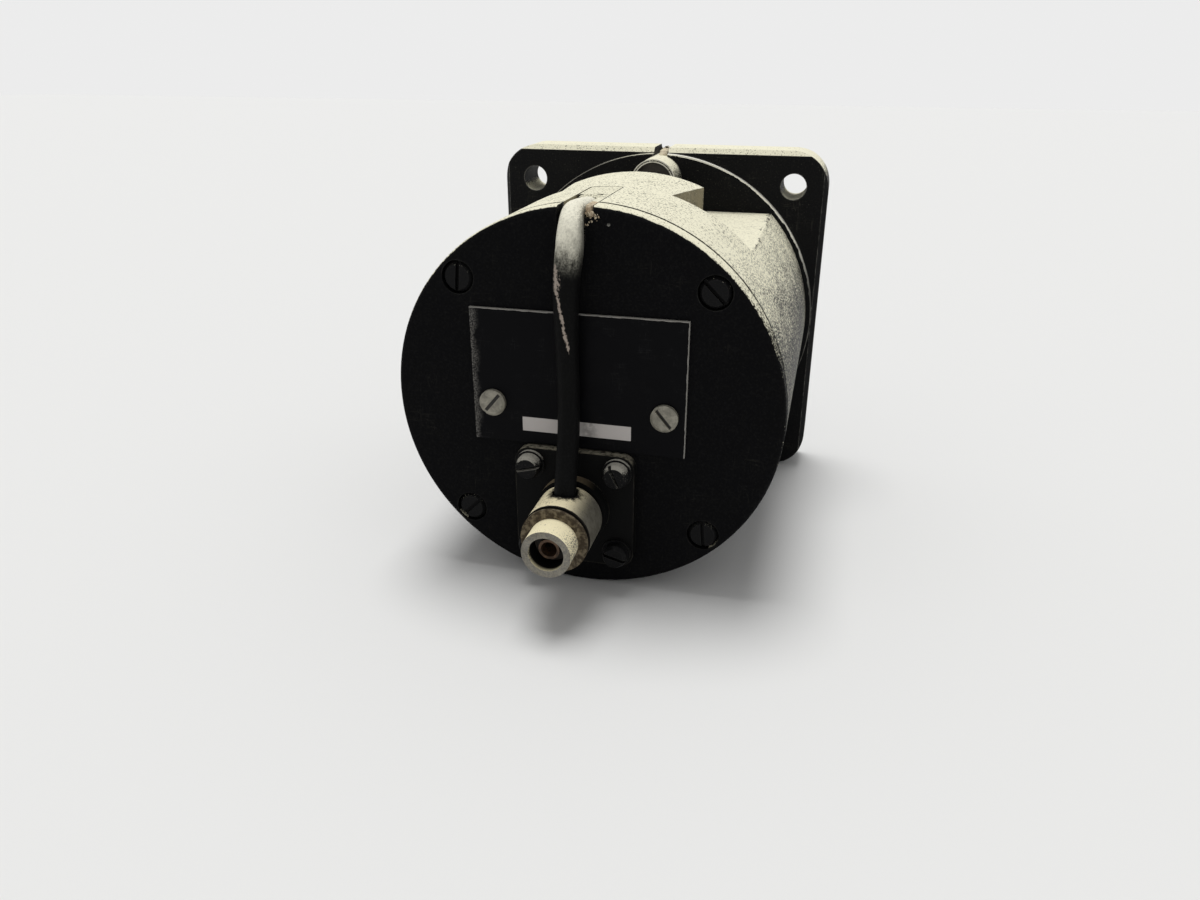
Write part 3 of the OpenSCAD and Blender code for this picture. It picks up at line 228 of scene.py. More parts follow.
def flat_text(text: str, height: float, facet: float) -> bpy.types.Mesh:
    """A flat mesh of a short word, centred on x = 0 and standing on y = 0, facing -Y once raised.

    Args:
        text: The letters.
        height: Height of a capital letter.
        facet: Longest edge that is left uncut.

    Returns:
        A new mesh in the XY plane.
    """
    curve = bpy.data.curves.new("word", "FONT")
    curve.body = text
    curve.align_x = "CENTER"
    curve.resolution_u = 6
    holder = bpy.data.objects.new("word", curve)
    bpy.context.scene.collection.objects.link(holder)
    bpy.context.view_layer.update()
    flat = bpy.data.meshes.new_from_object(holder.evaluated_get(bpy.context.evaluated_depsgraph_get()))
    bpy.data.objects.remove(holder)
    bpy.data.curves.remove(curve)
    points = mesh_points(flat)
    points *= height / np.ptp(points[:, 1])
    points[:, 1] -= points[:, 1].min()
    points[:, 0] -= (points[:, 0].min() + points[:, 0].max()) / 2
    move_points(flat, points)
    cut_long_edges(flat, facet)
    return flat


def cut_long_edges(mesh: bpy.types.Mesh, longest: float, rounds: int = 4) -> None:
    """Halves edges that are longer than a limit, so that the mesh can be wrapped.

    Args:
        mesh: The mesh.
        longest: The limit in metres.
        rounds: How often an edge may be halved.
    """
    work = bmesh.new()
    work.from_mesh(mesh)
    bmesh.ops.remove_doubles(work, verts=work.verts, dist=MERGE)
    bmesh.ops.triangulate(work, faces=work.faces)
    for _ in range(rounds):
        long_edges = [edge for edge in work.edges if edge.calc_length() > longest]
        if not long_edges:
            break
        bmesh.ops.subdivide_edges(work, edges=long_edges, cuts=1)
        bmesh.ops.triangulate(work, faces=work.faces)
    work.to_mesh(mesh)
    work.free()


# Shader trees

class Term:
    """A value in a shader tree that is reckoned with like a number: each operation adds one Math node."""

    def __init__(self, tree: "Tree", socket: Socket) -> None:
        """Keeps the socket and its tree."""
        self.tree = tree
        self.socket = socket

    def __add__(self, other: Value) -> "Term":
        """The sum."""
        return self.tree.math("ADD", self, other)

    def __sub__(self, other: Value) -> "Term":
        """This less a value."""
        return self.tree.math("SUBTRACT", self, other)

    def __rsub__(self, other: Value) -> "Term":
        """A number less this."""
        return self.tree.math("SUBTRACT", other, self)

    def __mul__(self, other: Value) -> "Term":
        """The product."""
        return self.tree.math("MULTIPLY", self, other)

    def __truediv__(self, other: Value) -> "Term":
        """This over a value."""
        return self.tree.math("DIVIDE", self, other)

    def __rtruediv__(self, other: Value) -> "Term":
        """A number over this."""
        return self.tree.math("DIVIDE", other, self)

    def __pow__(self, other: Value) -> "Term":
        """This raised to a power."""
        return self.tree.math("POWER", self, other)

    def __abs__(self) -> "Term":
        """This without its sign."""
        return self.tree.math("ABSOLUTE", self)

    def __lt__(self, other: Value) -> "Term":
        """1 where this is below a value, else 0."""
        return self.tree.math("LESS_THAN", self, other)

    def __gt__(self, other: Value) -> "Term":
        """1 where this is above a value, else 0."""
        return self.tree.math("GREATER_THAN", self, other)

    def __or__(self, other: Value) -> "Term":
        """The larger of two values: a mask that shows where either does."""
        return self.tree.math("MAXIMUM", self, other)

    def __and__(self, other: Value) -> "Term":
        """The smaller of two values."""
        return self.tree.math("MINIMUM", self, other)


class Tree:
    """Adds nodes to one shader tree in short calls."""

    def __init__(self, tree: bpy.types.NodeTree) -> None:
        """Keeps the tree that nodes are added to."""
        self.tree = tree

    def node(self, kind: str, inputs: Optional[dict[Union[str, int], Value]] = None,
             **settings) -> bpy.types.Node:
        """Adds a node.

        Args:
            kind: Blender's name of the node.
            inputs: Values by the input's name or number.
            settings: Properties of the node.

        Returns:
            The new node.
        """
        made = self.tree.nodes.new(kind)
        for key, setting in settings.items():
            setattr(made, key, setting)
        for key, given in (inputs or {}).items():
            self.feed(made.inputs[key], given)
        return made

    def feed(self, socket: Socket, given: Value) -> None:
        """Links a value to an input or sets the input's constant, a colour with a full fourth number.

        Args:
            socket: The input.
            given: The value.
        """
        if isinstance(given, Term):
            self.tree.links.new(given.socket, socket)
        elif socket.type == "RGBA":
            socket.default_value = (*given, 1.0)
        else:
            socket.default_value = given

    def out(self, key: Union[str, int], kind: str, inputs: Optional[dict[Union[str, int], Value]] = None,
            **settings) -> Term:
        """One output of a new node, by its name or number."""
        return Term(self, self.node(kind, inputs, **settings).outputs[key])

    def math(self, operation: str, *given: Value, clamp: bool = False) -> Term:
        """The result of a Math node on one or two values."""
        return self.out(0, "ShaderNodeMath", dict(enumerate(given)), operation=operation, use_clamp=clamp)

    def vector(self, operation: str, *given: Value) -> Term:
        """The number that a Vector Math node makes of two vectors."""
        return self.out("Value", "ShaderNodeVectorMath", dict(enumerate(given)), operation=operation)

    def step(self, given: Value, low: Value, high: Value) -> Term:
        """A soft step: 0 at low and before it, 1 at high and past it, smooth between them."""
        return self.out("Result", "ShaderNodeMapRange", {"Value": given, "From Min": low, "From Max": high},
                        interpolation_type="SMOOTHSTEP")

    def blend(self, share: Value, first: Value, second: Value) -> Term:
        """The colour between two colours at a share from 0 to 1."""
        return self.out("Result", "ShaderNodeMix", {"Factor": share, "A": first, "B": second},
                        data_type="RGBA", blend_type="MIX")

    def between(self, share: Value, first: Value, second: Value) -> Term:
        """The number between two numbers at a share from 0 to 1."""
        return self.out("Result", "ShaderNodeMix", {"Factor": share, "A": first, "B": second},
                        data_type="FLOAT")

    def place(self) -> Term:
        """Object coordinates, in metres in the part's own frame."""
        return self.out("Object", "ShaderNodeTexCoord")

    def axes(self, given: Value) -> tuple[Term, Term, Term]:
        """The x, y and z of a place or direction."""
        parts = self.node("ShaderNodeSeparateXYZ", {0: given})
        return Term(self, parts.outputs[0]), Term(self, parts.outputs[1]), Term(self, parts.outputs[2])

    def facing(self) -> tuple[Term, Term, Term]:
        """The x, y and z of the surface's own direction."""
        return self.axes(self.out("Normal", "ShaderNodeNewGeometry"))

    def across(self, x: Term, z: Term) -> Term:
        """The distance of x and z from the Y axis."""
        return self.math("SQRT", x ** 2.0 + z ** 2.0)

    def noise(self, place: Value, scale: Value, detail: float, rough: float, twist: float = 0.0) -> Term:
        """Smooth noise around one half, with features about 1 / scale metres wide."""
        return self.out(0, "ShaderNodeTexNoise", {"Vector": place, "Scale": scale, "Detail": detail,
                                                  "Roughness": rough, "Distortion": twist})

    def patches(self, place: Value, scale: Value, low: float, high: float,
                detail: float = 4.0, rough: float = 0.6) -> Term:
        """Soft-edged patches: 0 where noise is below low, 1 where it is above high."""
        return self.step(self.noise(place, scale, detail, rough), low, high)

    def sway(self, place: Value, reach: float, scale: Value, detail: float = 4.0, rough: float = 0.6) -> Term:
        """Noise that wanders to both sides of zero, over a reach in all."""
        return (self.noise(place, scale, detail, rough) - 0.5) * reach

    def stretched(self, place: Value, scale: Point, turn: Point = (0.0, 0.0, 0.0)) -> Term:
        """A place with each axis scaled by itself and then turned."""
        return self.out(0, "ShaderNodeMapping", {"Vector": place, "Scale": scale, "Rotation": turn})

    def use(self, effect: "Effect", **given: Value) -> dict[str, Term]:
        """Places a shared effect.

        Args:
            effect: The effect.
            given: Values of its inputs, by name with underscores for spaces.

        Returns:
            Its outputs by name.
        """
        inputs = {key.replace("_", " "): one for key, one in given.items()}
        made = self.node("ShaderNodeGroup", inputs, node_tree=EFFECTS.group(effect))
        return {socket.name: Term(self, socket) for socket in made.outputs}

    def shade(self, **given: Value) -> None:
        """Sets inputs of the material's Principled shader, by name with underscores for spaces.

        Args:
            given: Values of the inputs.
        """
        shader = self.tree.nodes["Principled BSDF"]
        for key, one in given.items():
            self.feed(shader.inputs[key.replace("_", " ")], one)

    def bump(self, height: Term, strength: float, depth: float) -> None:
        """Leads a height through a Bump node to the shader's normal."""
        self.shade(Normal=self.out(0, "ShaderNodeBump",
                                   {"Height": height, "Strength": strength, "Distance": depth}))


class Effect(Enum):
    """Surface effects that several finishes share, each one node group."""

    GRAIN = "fine_grain"
    EDGES = "edge_wear"
    DUST = "settled_dust"
    TARNISH = "tarnish"
    SCRATCHES = "hairline_scratches"


class Effects:
    """Builds each shared node group once."""

    def __init__(self) -> None:
        """Starts with no group built."""
        self.built: dict[Effect, bpy.types.NodeTree] = {}

    def group(self, effect: Effect) -> bpy.types.NodeTree:
        """The group of an effect, built on first use by the method of its name.

        Args:
            effect: The effect.

        Returns:
            Its node group.
        """
        if effect not in self.built:
            self.built[effect] = getattr(self, effect.value)()
        return self.built[effect]

    @staticmethod
    def start(effect: Effect, **inputs: float) -> tuple[Tree, list[Term]]:
        """An empty group with its number inputs.

        Args:
            effect: The effect that names the group.
            inputs: Defaults of its inputs, by name with underscores for spaces.

        Returns:
            Its tree and its inputs in order.
        """
        group = bpy.data.node_groups.new(effect.value, "ShaderNodeTree")
        names = [key.replace("_", " ") for key in inputs]
        for name, usual in zip(names, inputs.values()):
            socket = group.interface.new_socket(name=name, in_out="INPUT", socket_type="NodeSocketFloat")
            socket.default_value = usual
        tree = Tree(group)
        entry = tree.node("NodeGroupInput")
        return tree, [Term(tree, entry.outputs[name]) for name in names]

    @staticmethod
    def finish(tree: Tree, **outputs: Term) -> bpy.types.NodeTree:
        """Leads values out of a group, each under its name.

        Args:
            tree: The group's tree.
            outputs: Values by the names of the outputs.

        Returns:
            The finished group.
        """
        for name in outputs:
            tree.tree.interface.new_socket(name=name, in_out="OUTPUT", socket_type="NodeSocketFloat")
        tree.node("NodeGroupOutput", outputs)
        return tree.tree

    def fine_grain(self) -> bpy.types.NodeTree:
        """Grained paint: noise and round cells of one size, as a height and a mask of its tips.

        Returns:
            The finished group.
        """
        tree, (size,) = self.start(Effect.GRAIN, Size=0.4 * MM)
        place, scale = tree.place(), 1.0 / size
        rough = tree.noise(place, scale, 4.0, 0.62)
        cells = tree.out("Distance", "ShaderNodeTexVoronoi",
                         {"Vector": place, "Scale": scale, "Randomness": 1.0}, feature="SMOOTH_F1")
        return self.finish(tree, Height=rough * 0.75 + cells * 0.45, Tips=tree.step(rough, 0.46, 0.7))

    def edge_wear(self) -> bpy.types.NodeTree:
        """Worn edges: where a normal rounded off by Radius leaves the true normal, broken up by noise.

        Returns:
            The finished group.
        """
        tree, (radius, amount, breakup) = self.start(
            Effect.EDGES, Radius=0.4 * MM, Amount=1.0, Breakup=2.0 * MM)
        rounded = tree.out(0, "ShaderNodeBevel", {"Radius": radius}, samples=6)
        turned = 1.0 - tree.vector("DOT_PRODUCT", rounded, tree.out("Normal", "ShaderNodeNewGeometry"))
        share = tree.patches(tree.place(), 1.0 / breakup, 0.3, 0.72, 5.0, 0.65) * amount
        return self.finish(tree, Mask=tree.math("MULTIPLY", tree.step(turned, 0.01, 0.14), share, clamp=True))

    def settled_dust(self) -> bpy.types.NodeTree:
        """Pale tips of a grained coat, standing for dust together with painted glare: noise above a limit
        that falls from upright faces to those on top.

        Returns:
            The finished group.
        """
        tree, (amount, level, size) = self.start(Effect.DUST, Amount=0.3, Level=0.1, Size=0.3 * MM)
        # Painted glare with dust: more pale specks the more a face turns up towards the light.
        rise = tree.facing()[2]
        upright = tree.step(rise, -0.9, 0.0) * level
        share = tree.between(tree.step(rise, 0.1, 0.85), upright, 1.0) * amount
        place = tree.place()
        limit = tree.between(share, 0.76, 0.35) + tree.sway(place, 0.2, 0.06 / size)
        specks = tree.step(tree.noise(place, 1.0 / size, 3.0, 0.6), limit - 0.12, limit + 0.09)
        return self.finish(tree, Mask=specks * tree.step(share, 0.0, 0.04))

    def tarnish(self) -> bpy.types.NodeTree:
        """Tarnished metal: broad clouds, small pits and a height that dips into the pits.

        Returns:
            The finished group.
        """
        tree, (size, pit_size) = self.start(Effect.TARNISH, Size=3.0 * MM, Pit_Size=0.3 * MM)
        place = tree.place()
        clouds = tree.noise(place, 1.0 / size, 6.0, 0.62, 0.4)
        pits = tree.patches(place, 1.0 / pit_size, 0.6, 0.74, 2.0)
        return self.finish(tree, Clouds=tree.step(clouds, 0.36, 0.68), Pits=pits, Height=clouds * 0.3 - pits)

    def hairline_scratches(self) -> bpy.types.NodeTree:
        """Fine scratches: thin level lines of two stretched noises, each kept only in some places.

        Returns:
            The finished group.
        """
        tree, (size, amount) = self.start(Effect.SCRATCHES, Size=4.0 * MM, Amount=0.5)
        place, scale = tree.place(), 1.0 / size
        lines = []
        for stretch, turn in (((0.4, 0.4, 9.0), 0.5), ((7.0, 1.0, 0.6), 3.5)):
            moved = tree.stretched(place, stretch, (0.3, turn, 0.2))
            near = abs(tree.noise(moved, scale, 1.0, 0.5) - 0.5)
            lines.append(1.0 - tree.step(near, 0.002, 0.012))
        kept = tree.patches(place, scale * 0.6, 0.52, 0.66, 2.0, 0.55)
        return self.finish(tree, Mask=tree.math("MULTIPLY", (lines[0] | lines[1]) * kept, amount, clamp=True))


EFFECTS = Effects()


# Finishes

@dataclass(frozen=True)
class Finish:
    """A plain finish that the others build on: a colour, a roughness and the strength of its gloss."""

    name: str
    base: Color = (0.5, 0.5, 0.5)
    rough: float = 0.5
    gleam: float = 0.5

    def make(self) -> bpy.types.Material:
        """A new material whose shader the finish fills.

        Returns:
            The new material.
        """
        material = bpy.data.materials.new(self.name)
        material.use_nodes = True
        tree = Tree(material.node_tree)
        tree.shade(Base_Color=self.base, Roughness=self.rough, Specular_IOR_Level=self.gleam)
        self.fill(tree)
        return material

    def fill(self, tree: Tree) -> None:
        """Works out the shader's inputs; each kind of finish has its own way, and a plain one none."""


@dataclass(frozen=True)
class InstrumentPaint(Finish):
    """Black grained paint on light alloy: pale on top with dust and painted glare, and worn to metal along
    its edges.
    """

    base: Color = (0.006, 0.006, 0.0065)
    gleam: float = 0.06
    tip: Color = (0.016, 0.016, 0.015)
    # Colour of worn bare metal, also used for the bezel's painted highlight.
    metal: Color = (0.78, 0.76, 0.68)
    # Pale colour of dust and of the painted glare on top faces; also of hairline scratches.
    dust: Color = (0.9, 0.865, 0.67)
    hairline: float = 0.1
    grain: float = 0.3 * MM
    grain_depth: float = 0.05 * MM
    wear: float = 0.5
    wear_radius: float = 0.3 * MM
    dust_glare_amount: float = 0.6
    level: float = 0.02
    dust_glare_above: Optional[Pair] = None
    dust_rough: float = 0.7
    scratching: float = 0.3
    tip_share: float = 0.6
    bare_shine: float = 0.2
    relief: float = 0.55

    def marks(self, tree: Tree) -> Value:
        """A mask of this piece's own patches in the metal colour, on the bezel a painted highlight; a plain
        piece has none.
        """
        return 0.0

    def dust_glare_part(self, tree: Tree) -> Value:
        """A mask of the part of this piece that takes dust and painted glare: all of it, or what lies above
        two heights.
        """
        return tree.step(tree.axes(tree.place())[2], *self.dust_glare_above) if self.dust_glare_above else 1.0

    def tints(self, tree: Tree) -> Sequence[tuple[Term, Color]]:
        """Masks of this piece's own tints, each with its colour."""
        return ()

    def fill(self, tree: Tree) -> None:
        """Grain in colour, gloss and bump, then dust with painted glare, then bare metal at edges and marks,
        then tints.

        Args:
            tree: The material's tree.
        """
        grain = tree.use(Effect.GRAIN, Size=self.grain)
        worn = tree.use(Effect.EDGES, Radius=self.wear_radius, Amount=self.wear)["Mask"]
        # Pale specks of dust and painted glare, most on top faces.
        settled = tree.use(Effect.DUST, Amount=self.dust_glare_amount, Level=self.level, Size=self.grain)["Mask"]
        scratched = tree.use(Effect.SCRATCHES, Amount=self.scratching)["Mask"]
        # Worn edges and the piece's own marks, in the metal colour; on the bezel the marks are a painted
        # highlight, on the lamp tube worn rims with painted edge highlights.
        bare = worn | self.marks(tree)
        settled = settled * self.dust_glare_part(tree)
        shown = tree.blend(grain["Tips"] * self.tip_share, self.base, self.tip)
        coats = ((scratched * self.hairline, self.dust), (settled, self.dust), (bare, self.metal))
        for mask, color in (*coats, *self.tints(tree)):
            shown = tree.blend(mask, shown, color)
        gloss = tree.between(grain["Tips"], self.rough + 0.06, self.rough - 0.08)
        tree.shade(Base_Color=shown, Metallic=bare * self.bare_shine,
                   Roughness=tree.between(settled, gloss, self.dust_rough))
        tree.bump(grain["Height"] - bare * 0.5, self.relief, self.grain_depth)


@dataclass(frozen=True)
class CasePaint(InstrumentPaint):
    """Paint of the case, paler on the shelf with dust and painted glare, cracked along the shelf's ragged
    edges and tinted olive-brown on the block's sides.
    """

    shelf: float = 19.0 * MM
    shelf_half: float = 1.3 * MM
    shelf_end: float = 34.5 * MM
    radius: float = 27.7 * MM
    wander: float = 4.6 * MM
    crack_half: float = 0.17 * MM
    crack_reach: float = 2.0 * MM
    crack: Color = (0.03, 0.028, 0.022)
    side_tone: Color = (0.3, 0.262, 0.165)

    def tints(self, tree: Tree) -> Sequence[tuple[Term, Color]]:
        """The shelf's pale coat of dust and painted glare up to a line that wanders about its edge, the
        cracks on it, and the tone of the block's sides.

        Args:
            tree: The material's tree.

        Returns:
            The masks, each with its colour.
        """
        place = tree.place()
        x, y, z = tree.axes(place)
        edge = math.sqrt(self.radius ** 2 - self.shelf ** 2)
        out = abs(x) - edge - tree.sway(place, self.wander, 330.0, 6.0, 0.74)
        near = (y < self.shelf_end) * (abs(z - self.shelf) < self.shelf_half)
        width = tree.patches(place, 260.0, 0.4, 0.62) * self.crack_half
        cracked = near * (abs(out) < width) * (abs(x) > edge - self.crack_reach)
        # The block's faces turned to +X or -X take an olive-brown tone.
        side = tree.step(abs(tree.facing()[0]), 0.85, 0.97) * tree.step(z, self.shelf, self.shelf + 0.2 * MM)
        cloudy = tree.patches(place, 700.0, 0.3, 0.6, 5.0) * 0.35 + 0.5
        # The shelf's pale coat is dust with painted glare on its flat top.
        return (near * (out < 0.0) * 0.5, self.dust), (cracked, self.crack), (side * cloudy, self.side_tone)


@dataclass(frozen=True)
class BezelPaint(InstrumentPaint):
    """Paint of the bezel, pale with dust and painted glare above the window, with a painted highlight along
    the step that centres it.
    """

    dust_glare_above: Optional[Pair] = (10.0 * MM, 16.0 * MM)
    spigot: float = 28.575 * MM
    line: float = 0.06 * MM
    arc: float = 0.2 * MM
    behind: float = 0.05 * MM

    def marks(self, tree: Tree) -> Value:
        """A painted highlight along the outer edge of the spigot, as if lit from above: a thin ragged arc
        fading downwards and past the middle.

        Args:
            tree: The material's tree.

        Returns:
            The mask of bare patches.
        """
        place = tree.place()
        x, y, z = tree.axes(place)
        past = tree.step(x, 0.0, 2.0 * MM)
        reach = tree.patches(place, 600.0, 0.3, 0.6) * (1.0 - past) * self.arc
        near = tree.across(x, z) > self.spigot - self.line - reach
        share = tree.between(past, 1.0, tree.step(x, 7.0 * MM, 11.0 * MM) * 0.45)
        # Painted highlight, brightest at the top of the arc and weaker on the +X side.
        return near * (y > self.behind) * (tree.step(z, 2.0 * MM, 17.0 * MM) * share)


@dataclass(frozen=True)
class TubePaint(InstrumentPaint):
    """Paint of the lamp tube, bright on both rims of its open end: worn metal with painted edge highlights.
    """

    end: float = 6.9 * MM
    axis_z: float = 24.4 * MM
    groove: float = 3.625 * MM
    groove_half: float = 0.09 * MM

    def marks(self, tree: Tree) -> Value:
        """The last tenth of a millimetre of the tube but for a dark line round the middle of its wall, so
        that its two rims show as worn metal with painted edge highlights.

        Args:
            tree: The material's tree.

        Returns:
            The mask of bare patches.
        """
        place = tree.place()
        x, y, z = tree.axes(place)
        beside = abs(tree.across(x, z - self.axis_z) - self.groove)
        # Worn metal with painted edge highlights on the two rims of the open end.
        return (y > self.end) * (beside > self.groove_half) * tree.patches(place, 1500.0, 0.25, 0.45)


@dataclass(frozen=True)
class ScrewPaint(InstrumentPaint):
    """Thin smooth black on screws, with dull metal at the edges."""

    rough: float = 0.4
    grain: float = 0.18 * MM
    grain_depth: float = 0.015 * MM
    wear: float = 0.3
    wear_radius: float = 0.12 * MM
    dust_glare_amount: float = 0.1
    level: float = 0.0
    metal: Color = (0.1, 0.098, 0.09)


@dataclass(frozen=True)
class CoverPaint(InstrumentPaint):
    """Paint of the rear cover, pale with dust and painted glare on its round side, and flecked beside the
    lead.
    """

    flecks_x: Pair = (-13.5 * MM, -2.0 * MM)
    flecks_z: Pair = (22.6 * MM, 25.4 * MM)
    flecks_soft: float = 1.5 * MM
    side_end: float = 52.72 * MM
    side_soft: float = 0.04 * MM
    flat_end: float = 26.9 * MM

    def dust_glare_part(self, tree: Tree) -> Value:
        """The round side outside the screws, up to a slightly ragged line on its rounded edge.

        Args:
            tree: The material's tree.

        Returns:
            The mask of the part that takes dust.
        """
        place = tree.place()
        x, y, z = tree.axes(place)
        ragged = y + tree.sway(place, 0.3 * MM, 900.0, 4.0, 0.65)
        side = tree.step(ragged, self.side_end + self.side_soft, self.side_end - self.side_soft)
        # Dust with painted glare lies on the round side, up to the rim's edge.
        return side * (tree.across(x, z) > self.flat_end)

    def marks(self, tree: Tree) -> Value:
        """Round flecks in some cells of a pattern, inside a soft box.

        Args:
            tree: The material's tree.

        Returns:
            The mask of bare patches.
        """
        place = tree.place()
        x, _, z = tree.axes(place)
        soft, sides = self.flecks_soft, []
        for given, (low, high) in ((x, self.flecks_x), (z, self.flecks_z)):
            sides.append(tree.step(given, low - soft, low + soft)
                         * tree.step(given, high + soft, high - soft))
        cells = tree.node("ShaderNodeTexVoronoi", {"Vector": place, "Scale": 900.0, "Randomness": 1.0})
        pick = tree.axes(Term(tree, cells.outputs["Color"]))[0] > 0.72
        near = Term(tree, cells.outputs["Distance"]) < 0.2
        return pick * near * tree.step(sides[0] * sides[1], 0.35, 0.6) * 0.3


@dataclass(frozen=True)
class Metal(Finish):
    """Bare metal with clouds of tarnish, small pits and a bright worn edge."""

    tarnished: Color = (0.3, 0.26, 0.18)
    pit: Color = (0.06, 0.05, 0.04)
    cloud_size: float = 2.5 * MM
    pit_size: float = 0.35 * MM
    tarnish: float = 0.6
    pitting: float = 0.5
    edge: float = 0.5
    edge_radius: float = 0.25 * MM
    edge_gain: float = 1.15
    shine: float = 1.0
    relief: float = 0.4
    pit_depth: float = 0.03 * MM

    def fill(self, tree: Tree) -> None:
        """Clouds change colour and gloss, pits darken and dip, and edges are rubbed bright.

        Args:
            tree: The material's tree.
        """
        spoil = tree.use(Effect.TARNISH, Size=self.cloud_size, Pit_Size=self.pit_size)
        rubbed = tree.use(Effect.EDGES, Radius=self.edge_radius, Amount=self.edge)["Mask"]
        cloud = spoil["Clouds"] * self.tarnish
        color = tree.blend(cloud, self.base, self.tarnished)
        color = tree.blend(spoil["Pits"] * self.pitting, color, self.pit)
        color = tree.blend(rubbed, color, tuple(min(1.0, self.edge_gain * one) for one in self.base))
        tree.shade(Metallic=self.shine)
        tree.bump(spoil["Height"], self.relief, self.pit_depth)
        self.coat(tree, color, tree.between(cloud, self.rough - 0.06, self.rough + 0.22))

    def coat(self, tree: Tree, color: Term, gloss: Term) -> None:
        """Shows the metal's colour and roughness; a coated metal changes them first."""
        tree.shade(Base_Color=color, Roughness=gloss)


@dataclass(frozen=True)
class PlateScrewMetal(Metal):
    """Metal of the two plate screws, with painted shade in their slots."""

    slot_shade: Color = (0.02, 0.018, 0.015)
    middle: Pair = (0.7 * MM, 0.1 * MM)
    half_pitch: float = 12.3 * MM
    slot_reach: float = 1.596 * MM
    slot_top: float = 54.06 * MM
    slot_soft: float = 0.02 * MM

    def coat(self, tree: Tree, color: Term, gloss: Term) -> None:
        """Painted shade darkens the slot: what lies below a level and near the nearer screw's axis.

        Args:
            tree: The material's tree.
            color: Colour of the bare metal.
            gloss: Roughness of the bare metal.
        """
        x, y, z = tree.axes(tree.place())
        away = tree.across(abs(x - self.middle[0]) - self.half_pitch, z - self.middle[1])
        # Painted shade: the slot's colour is near black.
        sunk = tree.step(y, self.slot_top + self.slot_soft, self.slot_top - self.slot_soft)
        tree.shade(Base_Color=tree.blend(sunk * (away < self.slot_reach), color, self.slot_shade), Roughness=gloss)


@dataclass(frozen=True)
class ConnectorMetal(Metal):
    """The connector's shell: a painted flange, a brown collar, a stained plated barrel and a dark bore; the
    bore, the neck and the collar's -X side are darkened as painted shade, and the pale tops carry painted
    glare.
    """

    gleam: float = 0.06
    # Pale bloom colour, laid on with painted glare.
    bloom: Color = (0.95, 0.86, 0.58)
    # Black of the flange paint, also used as painted shade in the bore, the neck and on the collar's -X side.
    paint: Color = (0.004, 0.004, 0.004)
    collar: Color = (0.16, 0.125, 0.08)
    flange_dust_glare: Color = (0.24, 0.22, 0.17)
    flange_top: float = 54.62 * MM
    collar_top: float = 56.2 * MM
    neck_top: float = 57.1 * MM
    axis: Pair = (1.0 * MM, -14.7 * MM)
    bore: float = 2.5 * MM
    bore_lit: float = 68.2 * MM
    bore_fade: float = 0.8 * MM

    def coat(self, tree: Tree, color: Term, gloss: Term) -> None:
        """Metal under pale bloom and painted glare, in bands along y: painted flange, brown collar painted
        black on its -X side as shade, neck black as painted shade, pale barrel.

        Args:
            tree: The material's tree.
            color: Colour of the bare metal.
            gloss: Roughness of the bare metal.
        """
        place = tree.place()
        x, y, z = tree.axes(place)
        _, back, rise = tree.facing()
        # Pale bloom together with painted glare, much less on faces turned to +Y as painted shade on the end
        # face.
        bloom_glare_mask = tree.use(Effect.DUST, Amount=1.0, Level=0.6, Size=0.22 * MM)["Mask"]
        pale = bloom_glare_mask * (1.0 - tree.step(back, 0.5, 0.9) * 0.9)
        along = y + tree.sway(place, 0.4 * MM, 900.0, 4.0, 0.55)
        on_neck = along < self.neck_top
        # Painted shade: the bore is black from just inside its mouth inwards.
        bore_shade = (tree.across(x - self.axis[0], z - self.axis[1]) < self.bore) * tree.step(
            y, self.bore_lit, self.bore_lit - self.bore_fade)
        worn = tree.use(Effect.EDGES, Radius=0.3 * MM, Amount=0.2)["Mask"]
        # Dust with a painted highlight on the flange's upward faces.
        upward_dust_glare = tree.step(rise, 0.3, 0.9) * tree.patches(place, 1500.0, 0.3, 0.6, 5.0, 0.65)
        flange = tree.blend(worn | upward_dust_glare, self.paint, self.flange_dust_glare)
        # Painted shade: the collar is black on its -X side.
        brown = tree.blend(tree.step(x, -2.6 * MM, 0.8 * MM), self.paint, self.collar)
        # Painted shade: the neck between collar and sleeve is black.
        neck = tree.blend(along < self.collar_top, self.paint, brown)
        shown = tree.blend(on_neck, tree.blend(pale, color, self.bloom), neck)
        shown = tree.blend(bore_shade, shown, self.paint)
        coated = on_neck | bore_shade | pale
        tree.shade(Base_Color=tree.blend(y < self.flange_top, shown, flange),
                   Metallic=(1.0 - coated) * self.shine, Roughness=tree.between(coated, gloss, 0.55))


